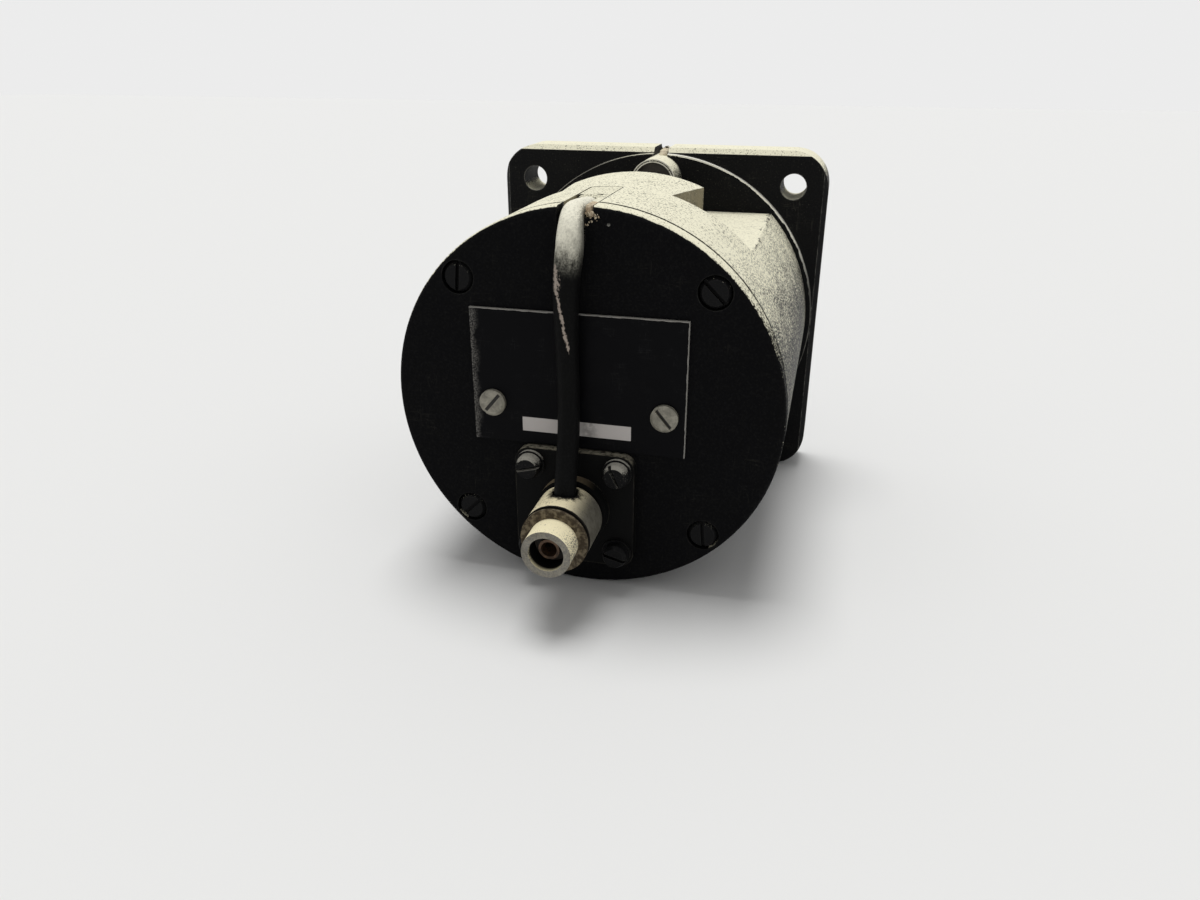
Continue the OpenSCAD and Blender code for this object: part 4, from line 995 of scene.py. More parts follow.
@dataclass(frozen=True)
class SleeveMetal(Metal):
    """The connector's sleeve: stained plating with painted glare, a brown front bead darkened as painted
    shade, black overspray at the lead's entry and painted shade in the front groove.
    """

    gleam: float = 0.08
    # Pale bloom colour, laid on with painted glare.
    bloom: Color = (0.92, 0.82, 0.55)
    # Black of the overspray, also the painted shade in the front groove.
    spray: Color = (0.01, 0.009, 0.008)
    # Brown of the front bead, darkened as painted shade.
    shaded_rust: Color = (0.055, 0.042, 0.028)
    shaded_pale_rust: Color = (0.2, 0.165, 0.11)
    entry: Point = (1.0 * MM, 59.0 * MM, -9.9 * MM)
    front: float = 63.35 * MM
    front_soft: float = 0.08 * MM
    groove: float = 63.6 * MM

    def coat(self, tree: Tree, color: Term, gloss: Term) -> None:
        """Distances from the lead's entry and the front groove, roughened by noise, give the black overspray
        and the groove's painted shade.

        Args:
            tree: The material's tree.
            color: Colour of the bare metal.
            gloss: Roughness of the bare metal.
        """
        place = tree.place()
        # Pale bloom together with painted glare, left off faces turned to -X as painted shade.
        pale = tree.use(Effect.DUST, Amount=0.95, Level=0.0, Size=0.26 * MM)["Mask"]
        pale = pale * tree.step(tree.facing()[0], -0.85, -0.15)
        rough = tree.sway(place, 1.0, 1400.0, 5.0, 0.7)
        away = tree.vector("DISTANCE", place, self.entry) + rough * (2.8 * MM)
        edge = tree.axes(place)[1] + rough * (0.5 * MM)
        # Painted shade: the front bead is brown darkened to near black.
        band = tree.step(edge, self.front - self.front_soft, self.front + self.front_soft)
        # Painted shade: a dark line in the front groove.
        line = tree.step(abs(edge - self.groove), 0.3 * MM, 0.15 * MM)
        spray_and_groove_shade = tree.step(away, 2.9 * MM, 1.8 * MM) | line
        dark = spray_and_groove_shade | band
        mottled = tree.patches(place, 1100.0, 0.42, 0.66, 5.0, 0.65)
        brown = tree.blend(mottled, self.shaded_rust, self.shaded_pale_rust)
        shown = tree.blend(band, tree.blend(pale, color, self.bloom), brown)
        tree.shade(Base_Color=tree.blend(spray_and_groove_shade, shown, self.spray),
                   Metallic=(1.0 - (dark | pale)) * self.shine, Roughness=tree.between(dark, gloss, 0.6))


@dataclass(frozen=True)
class Enamel(Finish):
    """Flat enamel or printed paint, faded in clouds, with a shallow tooth."""

    fade: Color = (0.6, 0.6, 0.55)
    fading: float = 0.3
    cloud_size: float = 1.5 * MM
    tooth: float = 0.2 * MM
    tooth_depth: float = 0.01 * MM
    relief: float = 0.2
    dulling: float = 0.12

    def fill(self, tree: Tree) -> None:
        """Clouds mix in the faded colour, and pits dull the gloss and make a shallow bump.

        Args:
            tree: The material's tree.
        """
        spoil = tree.use(Effect.TARNISH, Size=self.cloud_size, Pit_Size=self.tooth)
        tree.shade(Base_Color=tree.blend(spoil["Clouds"] * self.fading, self.base, self.fade),
                   Roughness=tree.between(spoil["Pits"], self.rough, self.rough + self.dulling))
        tree.bump(spoil["Height"], self.relief, self.tooth_depth)


@dataclass(frozen=True)
class Rubber(Enamel):
    """Matt rubber or moulded insulator with a faint bloom and a finer, deeper tooth."""

    fade: Color = (0.09, 0.09, 0.09)
    fading: float = 0.5
    cloud_size: float = 2.0 * MM
    tooth: float = 0.15 * MM
    tooth_depth: float = 0.02 * MM
    relief: float = 0.3
    dulling: float = 0.15


@dataclass(frozen=True)
class ClearGlass(Finish):
    """Polished glass with faint smears on its surface."""

    rough: float = 0.03
    index: float = 1.5

    def fill(self, tree: Tree) -> None:
        """A clear shader whose gloss varies a little under the smears.

        Args:
            tree: The material's tree.
        """
        smear = tree.patches(tree.stretched(tree.place(), (1.0, 1.0, 2.5)), 160.0, 0.45, 0.75, 4.0, 0.55)
        tree.shade(Transmission_Weight=1.0, IOR=self.index,
                   Roughness=tree.between(smear, self.rough, self.rough + 0.09))


@dataclass(frozen=True)
class PlateEnamel(Finish):
    """The blank nameplate: black enamel with thin bare lines, a bare field with the lead's painted shadow on
    it, and a scuffed side.
    """

    base: Color = (0.0035, 0.0035, 0.0042)
    rough: float = 0.4
    gleam: float = 0.04
    metal: Color = (0.36, 0.345, 0.32)
    dull_metal: Color = (0.33, 0.31, 0.27)
    scratch: Color = (0.3, 0.3, 0.3)
    blank: Color = (0.52, 0.49, 0.47)
    line: float = 0.16 * MM
    scuff: float = 1.5 * MM
    # Painted shadow of the lead on the field: its middle x and its reach.
    lead_shadow: Pair = (-0.9 * MM, 2.0 * MM)
    lead_shadow_core: float = 0.3 * MM
    field_centre: Pair = (0.9 * MM, -2.8 * MM)
    field_half: Pair = (7.85 * MM, 1.05 * MM)

    def fill(self, tree: Tree) -> None:
        """Distances from the plate's edges and from the field's middle make the bare shapes.

        Args:
            tree: The material's tree.
        """
        low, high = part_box("nameplate")
        place = tree.place()
        x, _, z = tree.axes(place)
        thin = tree.between(tree.patches(place, 900.0, 0.3, 0.7, 3.0, 0.55), 0.5 * self.line, self.line)
        border = ((high.z - z) & (x - low.x)) < thin
        reach = tree.patches(place, 420.0, 0.15, 0.6, 5.0) * self.scuff
        scuffed = tree.patches(place, 5200.0, 0.35, 0.7, 4.0, 0.7) * 0.55 * tree.step(high.x - x, reach, 0.0)
        u = self.field_half[0] - abs(x - self.field_centre[0])
        v = self.field_half[1] - abs(z - self.field_centre[1])
        scratched = tree.use(Effect.SCRATCHES, Size=2.0 * MM, Amount=0.6)["Mask"]
        # Painted shadow of the lead, a soft dark band beside it on the field.
        shadowed_by_lead = tree.step(abs(x - self.lead_shadow[0]), self.lead_shadow[1], self.lead_shadow_core)
        unshadowed = 1.0 - shadowed_by_lead * tree.patches(place, 1500.0, 0.2, 0.6) * 0.6
        blank = ((u & v) > 0.0) * ((1.0 - scratched * 0.4) * unshadowed)
        shown = border * 0.75 | scuffed | blank
        grain = tree.use(Effect.TARNISH, Size=2.0 * MM, Pit_Size=0.25 * MM)
        metal = tree.blend(grain["Clouds"] * 0.35, self.metal, self.dull_metal)
        black = tree.blend(scratched * 0.06, self.base, self.scratch)
        tree.shade(Base_Color=tree.blend(blank, tree.blend(shown, black, metal), self.blank),
                   Roughness=tree.between(shown, tree.between(grain["Clouds"], 0.34, 0.5), 0.5))
        tree.bump(shown + grain["Height"] * 0.2, 0.35, 0.03 * MM)


@dataclass(frozen=True)
class LeadJacket(Finish):
    """The lead's black coat, grey with specks of dust and a painted highlight at its bend, and chipped in a
    pale streak below it.
    """

    base: Color = (0.004, 0.004, 0.004)
    gleam: float = 0.04
    tip: Color = (0.01, 0.01, 0.01)
    under: Color = (0.36, 0.305, 0.26)
    # Pale colour of dust and of the painted highlight on the lead's bend.
    dust: Color = (0.92, 0.89, 0.74)
    streak: Pair = (0.625, 0.755)
    streak_side: float = 0.885
    streak_slope: float = -1.6
    streak_half: float = 0.07
    highlight_and_dust_until: Pair = (0.582, 0.645)
    dust_glare_until: Pair = (0.56, 0.62)

    def fill(self, tree: Tree) -> None:
        """The streak is a noisy line on the lead's own map: first axis along it, second round it.

        Args:
            tree: The material's tree.
        """
        along, round_it, _ = tree.axes(tree.out(0, "ShaderNodeUVMap", uv_map="surface"))
        place = tree.place()
        start, end = self.streak
        inside = tree.step(along, start - 0.004, start + 0.006) * tree.step(along, end + 0.004, end - 0.01)
        gone = (along - start) / (end - start)
        drift = (along - start) * self.streak_slope
        centre = tree.sway(place, 0.05, 420.0, 3.0, 0.55) + drift + self.streak_side
        ragged = tree.patches(place, 2100.0, 0.38, 0.62, 6.0, 0.8) * 1.2 + 0.05
        width = tree.between(tree.step(gone, 0.15, 0.4), 1.0, 0.36) * self.streak_half
        chip = abs(round_it - centre) < ragged * inside * width
        # Painted highlight with dust: pale on the upper part of the lead, fading down the bend and dimmer
        # round part of its girth, where less light falls.
        fade = tree.step(along, self.highlight_and_dust_until[1], self.highlight_and_dust_until[0])
        mottled = tree.patches(tree.stretched(place, (1.0, 1.0, 0.4)), 1500.0, 0.25, 0.7, 6.0, 0.7)
        fine = tree.patches(place, 3800.0, 0.3, 0.65, 4.0, 0.7) * 0.7 + 0.3
        cloud = (mottled * fine) ** tree.between(fade, 1.5, 0.2)
        pale = fade * cloud * (tree.step(round_it, 0.5, 0.68) * 0.8 + 0.2)
        # Dust with painted glare on the lead's upper faces.
        upward_dust_glare = tree.use(Effect.DUST, Amount=0.85, Level=0.0, Size=0.3 * MM)["Mask"]
        settled = upward_dust_glare * tree.step(along, self.dust_glare_until[1], self.dust_glare_until[0])
        grain = tree.use(Effect.GRAIN, Size=0.3 * MM)
        coat = tree.blend(grain["Tips"] * 0.5, self.base, self.tip)
        coat = tree.blend(settled | pale, coat, self.dust)
        tree.shade(Base_Color=tree.blend(chip, coat, self.under),
                   Roughness=tree.between(settled, self.rough, 0.75))
        tree.bump(grain["Height"] - chip * 1.2, 0.5, 0.06 * MM)


@dataclass(frozen=True)
class Cement(Finish):
    """Crumbly beige sealing cement with dark crumbs, painted over where it lies in the case."""

    base: Color = (0.5, 0.4, 0.26)
    rough: float = 0.85
    gleam: float = 0.1
    pale: Color = (0.66, 0.57, 0.42)
    crumb: Color = (0.1, 0.07, 0.045)
    coat: Color = (0.006, 0.006, 0.0065)
    # Pale colour of dust and painted glare on the painted part.
    dust: Color = (0.9, 0.865, 0.67)
    painted_until: float = 49.6 * MM

    def fill(self, tree: Tree) -> None:
        """Clouds and crumbs colour the cement, and a ragged edge along y ends the paint on it, speckled with
        dust and painted glare.

        Args:
            tree: The material's tree.
        """
        place = tree.place()
        spoil = tree.use(Effect.TARNISH, Size=0.8 * MM, Pit_Size=0.22 * MM)
        grain = tree.use(Effect.GRAIN, Size=0.25 * MM)
        # Dust with painted glare on the painted part.
        settled = tree.use(Effect.DUST, Amount=0.85, Level=0.4, Size=0.3 * MM)["Mask"]
        clouded = tree.blend(spoil["Clouds"], self.base, self.pale)
        crumbly = tree.blend(spoil["Pits"] * 0.8, clouded, self.crumb)
        painted = tree.axes(place)[1] + tree.sway(place, 3.0 * MM, 900.0, 4.0, 0.7) < self.painted_until
        tree.shade(Base_Color=tree.blend(painted, crumbly, tree.blend(settled, self.coat, self.dust)))
        tree.bump(grain["Height"] + spoil["Height"], 0.8, 0.12 * MM)


UNPAINTED = -1.0  # a y that no cement reaches, so that no paint lies on it


class Look(Enum):
    """Every finish of the compass."""

    # The pale amounts set here stand for dust together with painted glare of the light on tops and sides.
    CASE = CasePaint("case_paint", gleam=0.15, dust_glare_amount=0.86, level=0.36, wear=0.6)
    # The bezel's bright metal colour also paints the highlight on its spigot edge.
    BEZEL = BezelPaint("bezel_paint", grain=0.26 * MM, dust_glare_amount=1.0, level=0.01, wear=0.35,
                       metal=(0.95, 0.93, 0.84))
    COVER = CoverPaint("cover_paint", base=(0.004, 0.004, 0.0045), rough=0.6, gleam=0.03,
                       tip=(0.009, 0.009, 0.009), dust_glare_amount=0.95, level=0.1, wear=0.03, hairline=0.03)
    TUBE = TubePaint("tube_paint", grain=0.24 * MM, wear=0.6, wear_radius=0.12 * MM, dust_glare_amount=1.0, level=0.3)
    BLACK_SCREW = ScrewPaint("black_screw")
    LAMP_CAP = ScrewPaint("lamp_cap", dust_glare_amount=1.0, dust=(0.5, 0.46, 0.36))
    PLATE_SCREW = PlateScrewMetal("plate_screw", base=(0.3, 0.282, 0.228), tarnished=(0.075, 0.07, 0.055),
                                  cloud_size=1.2 * MM, pit_size=0.2 * MM, shine=0.2)
    # Flange screws: dust with a painted highlight on the upper pair's upper sides; the lower pair get none
    # and stay black as painted shade.
    FLANGE_SCREW = ScrewPaint("flange_screw", grain=0.2 * MM, grain_depth=0.02 * MM, wear=0.18, dust_glare_amount=1.0,
                              level=0.04, metal=(0.25, 0.24, 0.21), dust=(0.36, 0.345, 0.3),
                              dust_glare_above=(-16.0 * MM, -13.0 * MM))
    PLATE = PlateEnamel("plate_enamel")
    SHELL = ConnectorMetal("connector_metal", base=(0.21, 0.2, 0.18), rough=0.55,
                           tarnished=(0.14, 0.13, 0.105), shine=0.2)
    SLEEVE = SleeveMetal("sleeve_metal", base=(0.17, 0.16, 0.13), rough=0.55, tarnished=(0.07, 0.064, 0.05),
                         cloud_size=1.8 * MM, pit_size=0.3 * MM, pitting=0.9, shine=0.3)
    LEAD = LeadJacket("lead_jacket")
    CEMENT = Cement("sealing_cement")
    CRUMBS = Cement("cement_crumbs", base=(0.3, 0.22, 0.14), painted_until=UNPAINTED)
    NOTCH = Cement("notch_cement", base=(0.8, 0.72, 0.52), crumb=(0.4, 0.32, 0.2), painted_until=UNPAINTED)
    BRASS = Metal("brass", base=(0.72, 0.53, 0.24), rough=0.32, tarnished=(0.42, 0.27, 0.1))
    # Copper darkened well below its own tone: tarnish and painted shade deep in the bore.
    CONTACT = Metal("contact_copper", base=(0.12, 0.068, 0.038), rough=0.45, tarnished=(0.02, 0.014, 0.01),
                    cloud_size=0.8 * MM, tarnish=0.9, shine=0.5)
    STEEL = Metal("polished_steel", base=(0.6, 0.61, 0.63), rough=0.25, tarnished=(0.4, 0.4, 0.4),
                  tarnish=0.3)
    MAGNET = Metal("magnet_steel", base=(0.3, 0.3, 0.31), rough=0.4, tarnished=(0.18, 0.16, 0.14))
    ALLOY = Metal("float_alloy", base=(0.72, 0.73, 0.74), rough=0.34, tarnished=(0.55, 0.55, 0.55),
                  tarnish=0.4, pitting=0.15)
    CARD = Enamel("card_black", base=(0.01, 0.01, 0.01), rough=0.6, fade=(0.03, 0.03, 0.03))
    MARK = Enamel("white_mark", base=(0.86, 0.84, 0.75), rough=0.55, fade=(0.7, 0.66, 0.52))
    RUBBER = Rubber("seal_rubber", base=(0.03, 0.03, 0.032), rough=0.7)
    INSULATOR = Rubber("insulator", base=(0.03, 0.024, 0.02), fade=(0.07, 0.06, 0.05))
    WINDOW = ClearGlass("window_glass", base=(0.97, 0.98, 0.98))
    BULB = ClearGlass("lamp_glass", base=(1.0, 0.98, 0.94))
    RUBY = ClearGlass("jewel_ruby", base=(0.75, 0.05, 0.12), index=1.76)


# Sub-assemblies

@dataclass
class Assembly:
    """A sub-assembly: the looks that its CAD nodes wear, and the pieces that are added to them."""

    finishes: dict[Look, bpy.types.Material]
    worn_by: ClassVar[dict[Look, str]] = {}

    def dress(self) -> None:
        """Gives each CAD node its material."""
        for look, nodes in self.worn_by.items():
            for name in nodes.split():
                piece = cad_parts[name]
                piece.data.materials.clear()
                piece.data.materials.append(self.finishes[look])
                log.info("%s: finished with %s", name, look.value.name)

    def build(self) -> None:
        """Makes the pieces that are added; most sub-assemblies have none."""


class Housing(Assembly):
    """Bezel, lamp, case and rear cover with their fasteners and seals."""

    worn_by = {
        Look.BEZEL: "front_bezel", Look.CASE: "case_body", Look.COVER: "rear_cover", Look.TUBE: "lamp_tube",
        Look.BLACK_SCREW: "bezel_screws filler_plug cover_screws compensator_screws",
        Look.LAMP_CAP: "lamp_cap", Look.CEMENT: "lead_cement",
        Look.RUBBER: "lens_gasket lens_seal filler_washer rear_gasket",
        Look.WINDOW: "lens", Look.MARK: "lubber_line", Look.BULB: "lamp_bulb",
        Look.BRASS: "lamp_base expansion_diaphragm", Look.INSULATOR: "lamp_socket"}


class Nameplate(Assembly):
    """The blank plate and its two bright screws."""

    worn_by = {Look.PLATE: "nameplate", Look.PLATE_SCREW: "nameplate_screws"}


class Connector(Assembly):
    """The lighting connector on the rear cover."""

    worn_by = {
        Look.SHELL: "connector_shell", Look.SLEEVE: "connector_sleeve",
        Look.INSULATOR: "connector_insulator", Look.CONTACT: "connector_contact",
        Look.FLANGE_SCREW: "connector_screws connector_washers"}


@dataclass(frozen=True)
class Bead:
    """A bead of cement: its middle line, its greatest mean radius, its look and how strong its lumps are."""

    name: str
    look: Look
    girth_mm: float
    uneven: float
    route_mm: tuple[Point, ...]


@dataclass
class Lead(Assembly):
    """The lighting lead and the cement that holds it where it crosses the rim."""

    sides: int = 28
    steps: int = 9
    dent: float = 0.012
    route_mm: tuple[tuple[float, float, float, float], ...] = (
        (0, 5.5, 24.4, 1.55), (0, 9, 24.4, 1.55), (0.4, 13, 24.4, 1.55), (0.9, 17.5, 24.4, 1.55),
        (1, 21, 24.4, 1.55), (1.1, 25.5, 24.4, 1.55), (1.2, 30, 24.4, 1.55), (1.25, 33.25, 24.73, 1.55),
        (1.3, 36.5, 25.05, 1.55), (1.35, 39.75, 25.38, 1.58), (1.4, 43, 25.7, 1.6),
        (1.45, 46.25, 26.03, 1.62), (1.5, 49.5, 26.35, 1.57), (1.5, 51.4, 26.35, 1.56),
        (1.3, 53, 25.85, 1.6), (1.1, 54.25, 24.9, 1.7), (1, 54.95, 23.7, 1.8),
        (1.05, 55.25, 22, 1.85), (1.45, 55.4, 18, 1.8), (1.55, 55.4, 13, 1.65),
        (1.5, 55.3, 8, 1.55), (1.4, 55.2, 3, 1.55), (1.35, 55.5, -1, 1.55), (1.3, 56.4, -4.5, 1.55),
        (1.15, 57.7, -7.2, 1.55), (1, 58.8, -9.1, 1.55), (1, 59, -11.1, 1.55))
    bead_steps: int = 14
    bead_sides: int = 24
    bead_ends: Pair = (0.03, 0.97)
    bead_lumps: tuple[Point, ...] = ((0.4, 1.1 * MM, 1.7), (0.3, 0.45 * MM, 2.9))
    beads: tuple[Bead, ...] = (
        Bead("rim_cement", Look.CRUMBS, 0.42, 1.0, (
            (-0.8, 51.2, 27.35), (-0.85, 52.0, 27.3), (-0.95, 52.6, 27.0), (-1.05, 53.0, 26.5))),
        Bead("notch_cement", Look.NOTCH, 0.85, 0.45, (
            (-0.4, -5.0, 28.2), (-0.45, -2.8, 28.35), (-0.4, -0.8, 28.35), (-0.1, 0.9, 28.1))),
        Bead("exit_cement", Look.CEMENT, 0.44, 0.15, (
            (-1.5, 43.2, 26.95), (-0.6, 43.2, 27.12), (0.5, 43.2, 27.2), (1.4, 43.2, 27.22),
            (2.2, 43.2, 27.15), (2.8, 43.2, 27.0), (3.2, 43.2, 26.7))),
        Bead("exit_fillet", Look.CEMENT, 0.42, 0.12, (
            (-1.5, 43.8, 26.7), (-0.6, 43.8, 26.95), (0.5, 43.75, 27.05), (1.4, 43.75, 27.08),
            (2.2, 43.75, 27.0), (2.8, 43.8, 26.8), (3.2, 43.8, 26.4))))
    crumb_seed: int = 7
    crumb_count: int = 22
    crumb_rows: int = 8
    crumb_columns: int = 12
    crumb_x_mm: Pair = (-2.1, -0.3)
    crumb_y_mm: Pair = (52.9, 53.1)
    crumb_top_mm: float = 26.75
    crumb_fall_mm: float = 1.5
    crumb_stray_mm: float = 0.8
    crumb_size_mm: Pair = (0.07, 0.3)
    crumb_uneven: float = 0.5

    def build(self) -> None:
        """Makes the lead, then the beads of cement at both notches and the loose crumbs at the rim."""
        self.jacket()
        for bead in self.beads:
            self.bead(bead)
        self.crumbs()

    def jacket(self) -> None:
        """A round tube along the route: each ring is a circle whose radius follows the route and wavers."""
        rows = np.array(self.route_mm) * MM
        path = smooth_path(rows[:, :3], self.steps)
        girth = np.interp(np.arange(len(path)) / self.steps, np.arange(len(rows)), rows[:, 3])[:, None, None]
        along = np.concatenate([[0.0], np.cumsum(np.linalg.norm(np.diff(path, axis=0), axis=1))])
        turn = np.linspace(0.0, TURN, self.sides + 1)
        circle = rings(path, turn)
        waver = 1.0 - self.dent * (1.0 + lumps(path[:, None] + girth * circle, 6 * MM, 0.4))
        points = path[:, None] + girth * waver[..., None] * circle
        uv = np.stack(np.broadcast_arrays((along / along[-1])[:, None], turn / TURN), axis=-1)
        lead = make_object("lead", points, grid_quads(len(path), len(turn), False), uv)
        close(lead)
        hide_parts("lighting_lead")
        settle(lead, HOUSING, self.finishes[Look.LEAD])

    def bead(self, bead: Bead) -> None:
        """A lumpy tube: circles along a path, swelling to the middle and pushed in and out by lumps.

        Args:
            bead: The bead's sizes and look.
        """
        path = smooth_path(np.array(bead.route_mm) * MM, self.bead_steps)
        share = np.clip(np.linspace(0.0, 1.0, len(path)), *self.bead_ends)
        girth = bead.girth_mm * MM * np.sin(math.pi * share) ** 0.5
        circle = rings(path, np.linspace(0.0, TURN, self.bead_sides, endpoint=False))
        points = path[:, None] + girth[:, None, None] * circle
        rough = sum(push * lumps(points, size, seed) for push, size, seed in self.bead_lumps)
        points = path[:, None] + (girth[:, None] * (1.0 + bead.uneven * rough))[..., None] * circle
        piece = make_object(bead.name, points, grid_quads(len(path), self.bead_sides, True))
        close(piece)
        settle(piece, HOUSING, self.finishes[bead.look])

    def crumbs(self) -> None:
        """Loose crumbs: small spheres pushed in and out by lumps, at places drawn once from a fixed seed."""
        draw, count = np.random.default_rng(self.crumb_seed), self.crumb_count
        drop = self.crumb_fall_mm * draw.random(count) ** 2
        centre = np.stack([
            draw.uniform(*self.crumb_x_mm, count) - self.crumb_stray_mm * draw.random(count) ** 3,
            draw.uniform(*self.crumb_y_mm, count), self.crumb_top_mm - drop], axis=-1)[:, None] * MM
        least, spread = self.crumb_size_mm
        size = (least + spread * draw.random(count) ** 2 * (1.0 - drop / 2.0))[:, None] * MM
        up, turn = np.meshgrid(np.linspace(0.0, math.pi, self.crumb_rows),
                               np.linspace(0.0, TURN, self.crumb_columns), indexing="ij")
        ball = np.stack([np.sin(up) * np.cos(turn), np.sin(up) * np.sin(turn), np.cos(up)], axis=-1)
        ball = ball.reshape(1, -1, 3)
        rough = 1.0 + self.crumb_uneven * lumps(centre + size[..., None] * ball, 0.3 * MM, 0.9)
        points = centre + (size * rough)[..., None] * ball
        quads = grid_quads(self.crumb_rows, self.crumb_columns, False)
        faces = quads[None] + up.size * np.arange(count)[:, None, None]
        piece = make_object("rim_crumbs", points, faces.reshape(-1, 4))
        close(piece)
        settle(piece, HOUSING, self.finishes[Look.CRUMBS])


@dataclass
class Card(Assembly):
    """The compass card, its float, magnets and pivot, with printed figures and strokes."""

    worn_by = {
        Look.CARD: "compass_card", Look.ALLOY: "float_upper float_lower",
        Look.BRASS: "magnet_clip jewel_post jewel_holder", Look.MAGNET: "card_magnets",
        Look.STEEL: "pivot_tip pivot_pin jewel_spring", Look.RUBY: "jewel"}
    radius: float = 19.5 * MM
    centre: Point = (0.0, 22.0 * MM, 0.0)
    print_lift: float = 0.03 * MM
    figure_height: float = 4.6 * MM
    figure_bottom: float = -1.4 * MM
    figure_each: int = 30
    letters: tuple[str, ...] = ("N", "E", "S", "W")
    stroke_bottom: float = -4.9 * MM
    long_stroke: float = 2.5 * MM
    short_stroke: float = 1.5 * MM
    stroke_width: float = 0.42 * MM
    facet: float = 0.45 * MM

    def build(self) -> None:
        """Prints the strokes and then the figures."""
        self.strokes()
        self.figures()

    def on_drum(self, across: np.ndarray, up: np.ndarray) -> np.ndarray:
        """Flat print wrapped on the drum: across becomes an angle from the window, up stays a height.

        Args:
            across: Distances round the drum, to the right as the window shows it.
            up: Heights above the middle of the card.

        Returns:
            Points in metres.
        """
        x, y, z = self.centre
        reach = self.radius + self.print_lift
        angle = across / self.radius
        return np.stack([x + reach * np.sin(angle), y - reach * np.cos(angle), z + up], axis=-1)

    def strokes(self) -> None:
        """A stroke each five degrees, long at each ten: small grids wrapped on the drum."""
        angles = np.arange(0, 360, 5)
        heights = np.where(angles % 10 == 0, self.long_stroke, self.short_stroke)
        u, v = np.meshgrid([-0.5, 0.5], [0.0, 1.0], indexing="xy")
        across = np.radians(angles)[:, None, None] * self.radius + u * self.stroke_width
        points = self.on_drum(across, self.stroke_bottom + v * heights[:, None, None])
        faces = 4 * np.arange(len(angles))[:, None] + np.array([0, 1, 3, 2])
        piece = make_object("card_strokes", points, faces)
        settle(piece, CARD, self.finishes[Look.MARK])

    def figures(self) -> None:
        """Headings in tens of degrees, a letter at each quarter, growing to the left round the drum."""
        for heading in range(0, 360, self.figure_each):
            text = str(heading // 10) if heading % 90 else self.letters[heading // 90]
            flat = flat_text(text, self.figure_height, self.facet)
            across, up, _ = mesh_points(flat).T
            across = across - math.radians(heading) * self.radius
            move_points(flat, self.on_drum(across, up + self.figure_bottom))
            piece = link(f"card_figure_{heading:03d}", flat)
            settle(piece, CARD, self.finishes[Look.MARK])


@dataclass
class Compensator(Assembly):
    """The geared compensator behind the bezel: brass frame, shafts and gears, with steel magnets."""

    worn_by = {
        Look.BRASS: "compensator_frame ew_adjuster ew_drive_gear ew_follower ew_driven_gear ns_adjuster "
                    "ns_bevel_pinion ns_cross_shaft ns_bevel_wheel ns_drive_gear ns_follower ns_driven_gear",
        Look.MAGNET: "ew_adjuster_magnet ew_follower_magnet ns_cross_magnet ns_follower_magnet"}
    letter_height: float = 1.9 * MM
    letter_bottom: float = -24.6 * MM
    letter_lift: float = 0.02 * MM
    uncut: float = 1.0

    def build(self) -> None:
        """The two pairs of letters on the bezel that say which adjuster is which."""
        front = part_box("front_bezel")[0].y
        for text, node in (("E-W", "ew_adjuster"), ("N-S", "ns_adjuster")):
            low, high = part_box(node)
            flat = flat_text(text, self.letter_height, self.uncut)
            across, up, _ = mesh_points(flat).T
            across = across + (low.x + high.x) / 2
            depth = np.full(len(up), front - self.letter_lift)
            move_points(flat, np.stack([across, depth, up + self.letter_bottom], axis=-1))
            piece = link(f"letters_{node}", flat)
            settle(piece, HOUSING, self.finishes[Look.MARK])


# Studio

@dataclass(frozen=True)
class Camera:
    """The viewing angle of the photograph, as a place, a heading and a field of view."""

    place: Point = (-0.031248, 0.164951, 0.04613)
    yaw: float = 0.252
    pitch: float = -0.423
    lens_mm: float = 27.0
    sensor_mm: float = 36.0
    nearest: float = 5.0 * MM

    def build(self) -> None:
        """Makes the camera look along its heading, with a level horizon."""
        forward = Vector((math.cos(self.pitch) * math.sin(self.yaw),
                          -math.cos(self.pitch) * math.cos(self.yaw), math.sin(self.pitch)))
        right = forward.cross(Vector((0.0, 0.0, 1.0))).normalized()
        data = bpy.data.cameras.new("photo_camera")
        data.lens = self.lens_mm
        data.sensor_width = self.sensor_mm
        data.clip_start = self.nearest
        camera = bpy.data.objects.new("photo_camera", data)
        turn = Matrix((right, right.cross(forward), -forward)).transposed()
        camera.matrix_world = Matrix.Translation(self.place) @ turn.to_4x4()
        bpy.context.scene.collection.objects.link(camera)
        bpy.context.scene.camera = camera


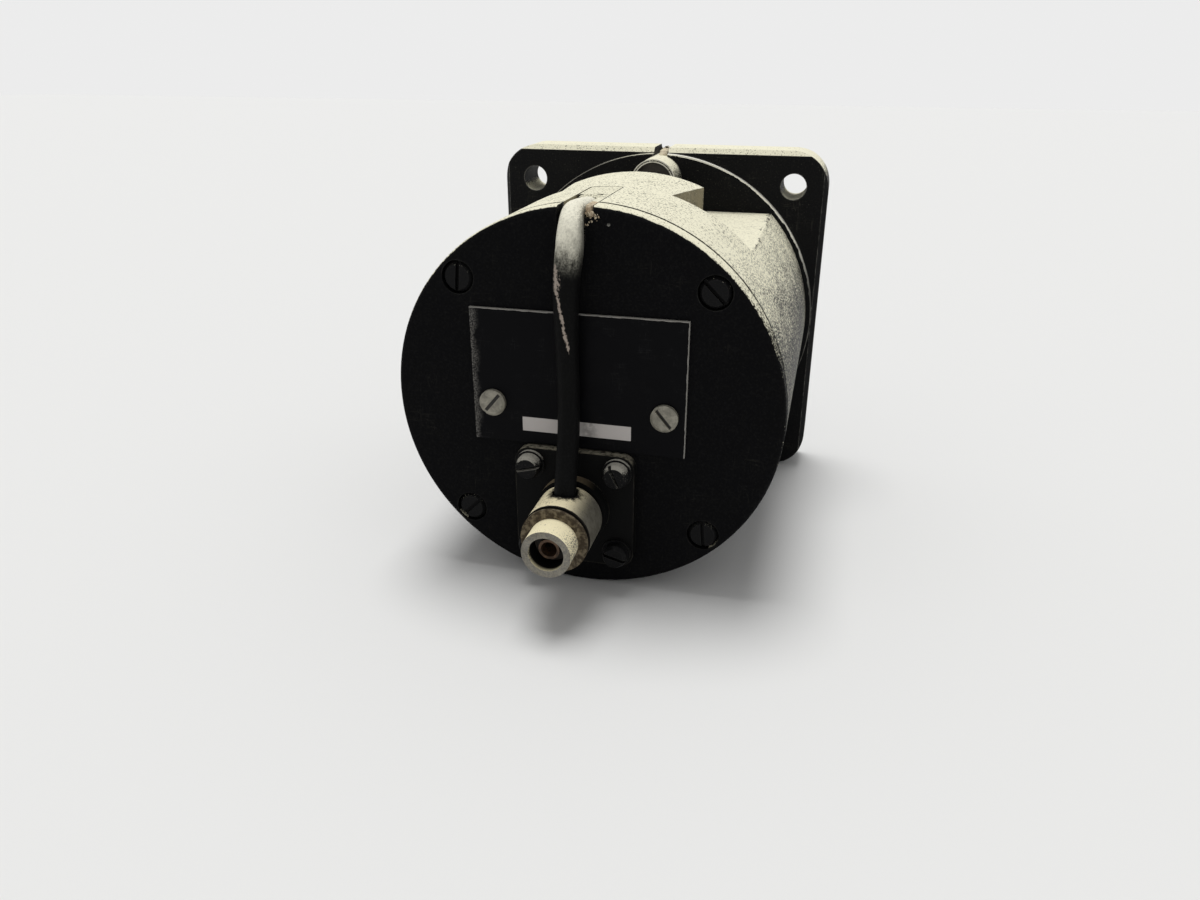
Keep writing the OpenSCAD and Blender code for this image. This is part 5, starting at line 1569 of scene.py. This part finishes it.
@dataclass(frozen=True)
class Sun:
    """The soft key light, which points at the compass."""

    place: Point = (0.04, -0.05, 0.45)
    target: Point = (0.0, 0.025, 0.0)
    power: float = 2.0
    spread: float = math.radians(30)

    def build(self) -> None:
        """Makes the light, soft over its spread, and turns it to its target."""
        data = bpy.data.lights.new("key", "SUN")
        data.energy = self.power
        data.angle = self.spread
        lamp = bpy.data.objects.new("key", data)
        lamp.location = self.place
        lamp.rotation_euler = (Vector(self.target) - Vector(self.place)).to_track_quat("-Z", "Y").to_euler()
        bpy.context.scene.collection.objects.link(lamp)


@dataclass
class Studio:
    """Pale floor, plain background, key light and camera."""

    floor_half: float = 3.0
    floor_finish: Finish = Finish("floor_paper", base=(0.8, 0.8, 0.79), rough=0.9)
    rest_front: Pair = (-0.0008, -0.0295)
    rest_rear: Pair = (0.0523, -0.0277)
    light: Color = (1.0, 1.0, 1.0)
    ambient: float = 0.4
    backdrop: float = 0.84

    def floor(self) -> None:
        """A plane through the two lower edges that the compass rests on, as height over depth."""
        slope = (self.rest_rear[1] - self.rest_front[1]) / (self.rest_rear[0] - self.rest_front[0])
        ends = [-self.floor_half, self.floor_half]
        x, y = np.meshgrid(ends, ends)
        z = self.rest_front[1] + slope * (y - self.rest_front[0])
        floor = make_object("floor", np.stack([x, y, z], axis=-1), np.array([[0, 1, 3, 2]]))
        floor.data.materials.append(self.floor_finish.make())

    def world(self) -> None:
        """An even dim world that the camera, gloss and glass see as the pale backdrop."""
        world = bpy.data.worlds.new("studio")
        bpy.context.scene.world = world
        world.use_nodes = True
        tree = Tree(world.node_tree)
        ray = tree.node("ShaderNodeLightPath")
        camera, gloss, glass = (Term(tree, ray.outputs[f"Is {kind} Ray"])
                                for kind in ("Camera", "Glossy", "Transmission"))
        seen = tree.math("ADD", camera, gloss + glass, clamp=True)
        background = world.node_tree.nodes["Background"]
        tree.feed(background.inputs["Color"], self.light)
        tree.feed(background.inputs["Strength"], tree.between(seen, self.ambient, self.backdrop))

    def build(self) -> None:
        """Makes the floor, the world, the light and the camera."""
        self.floor()
        self.world()
        Sun().build()
        Camera().build()
        bpy.context.scene.view_settings.view_transform = "Standard"


def main() -> None:
    """Builds the studio and each sub-assembly in order."""
    logging.basicConfig(level=logging.INFO, format="%(name)s %(message)s")
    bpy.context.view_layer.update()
    Studio().build()
    finishes = {look: look.value.make() for look in Look}
    for kind in (Housing, Nameplate, Connector, Lead, Card, Compensator):
        assembly = kind(finishes)
        assembly.dress()
        assembly.build()


if __name__ == "__main__":
    main()
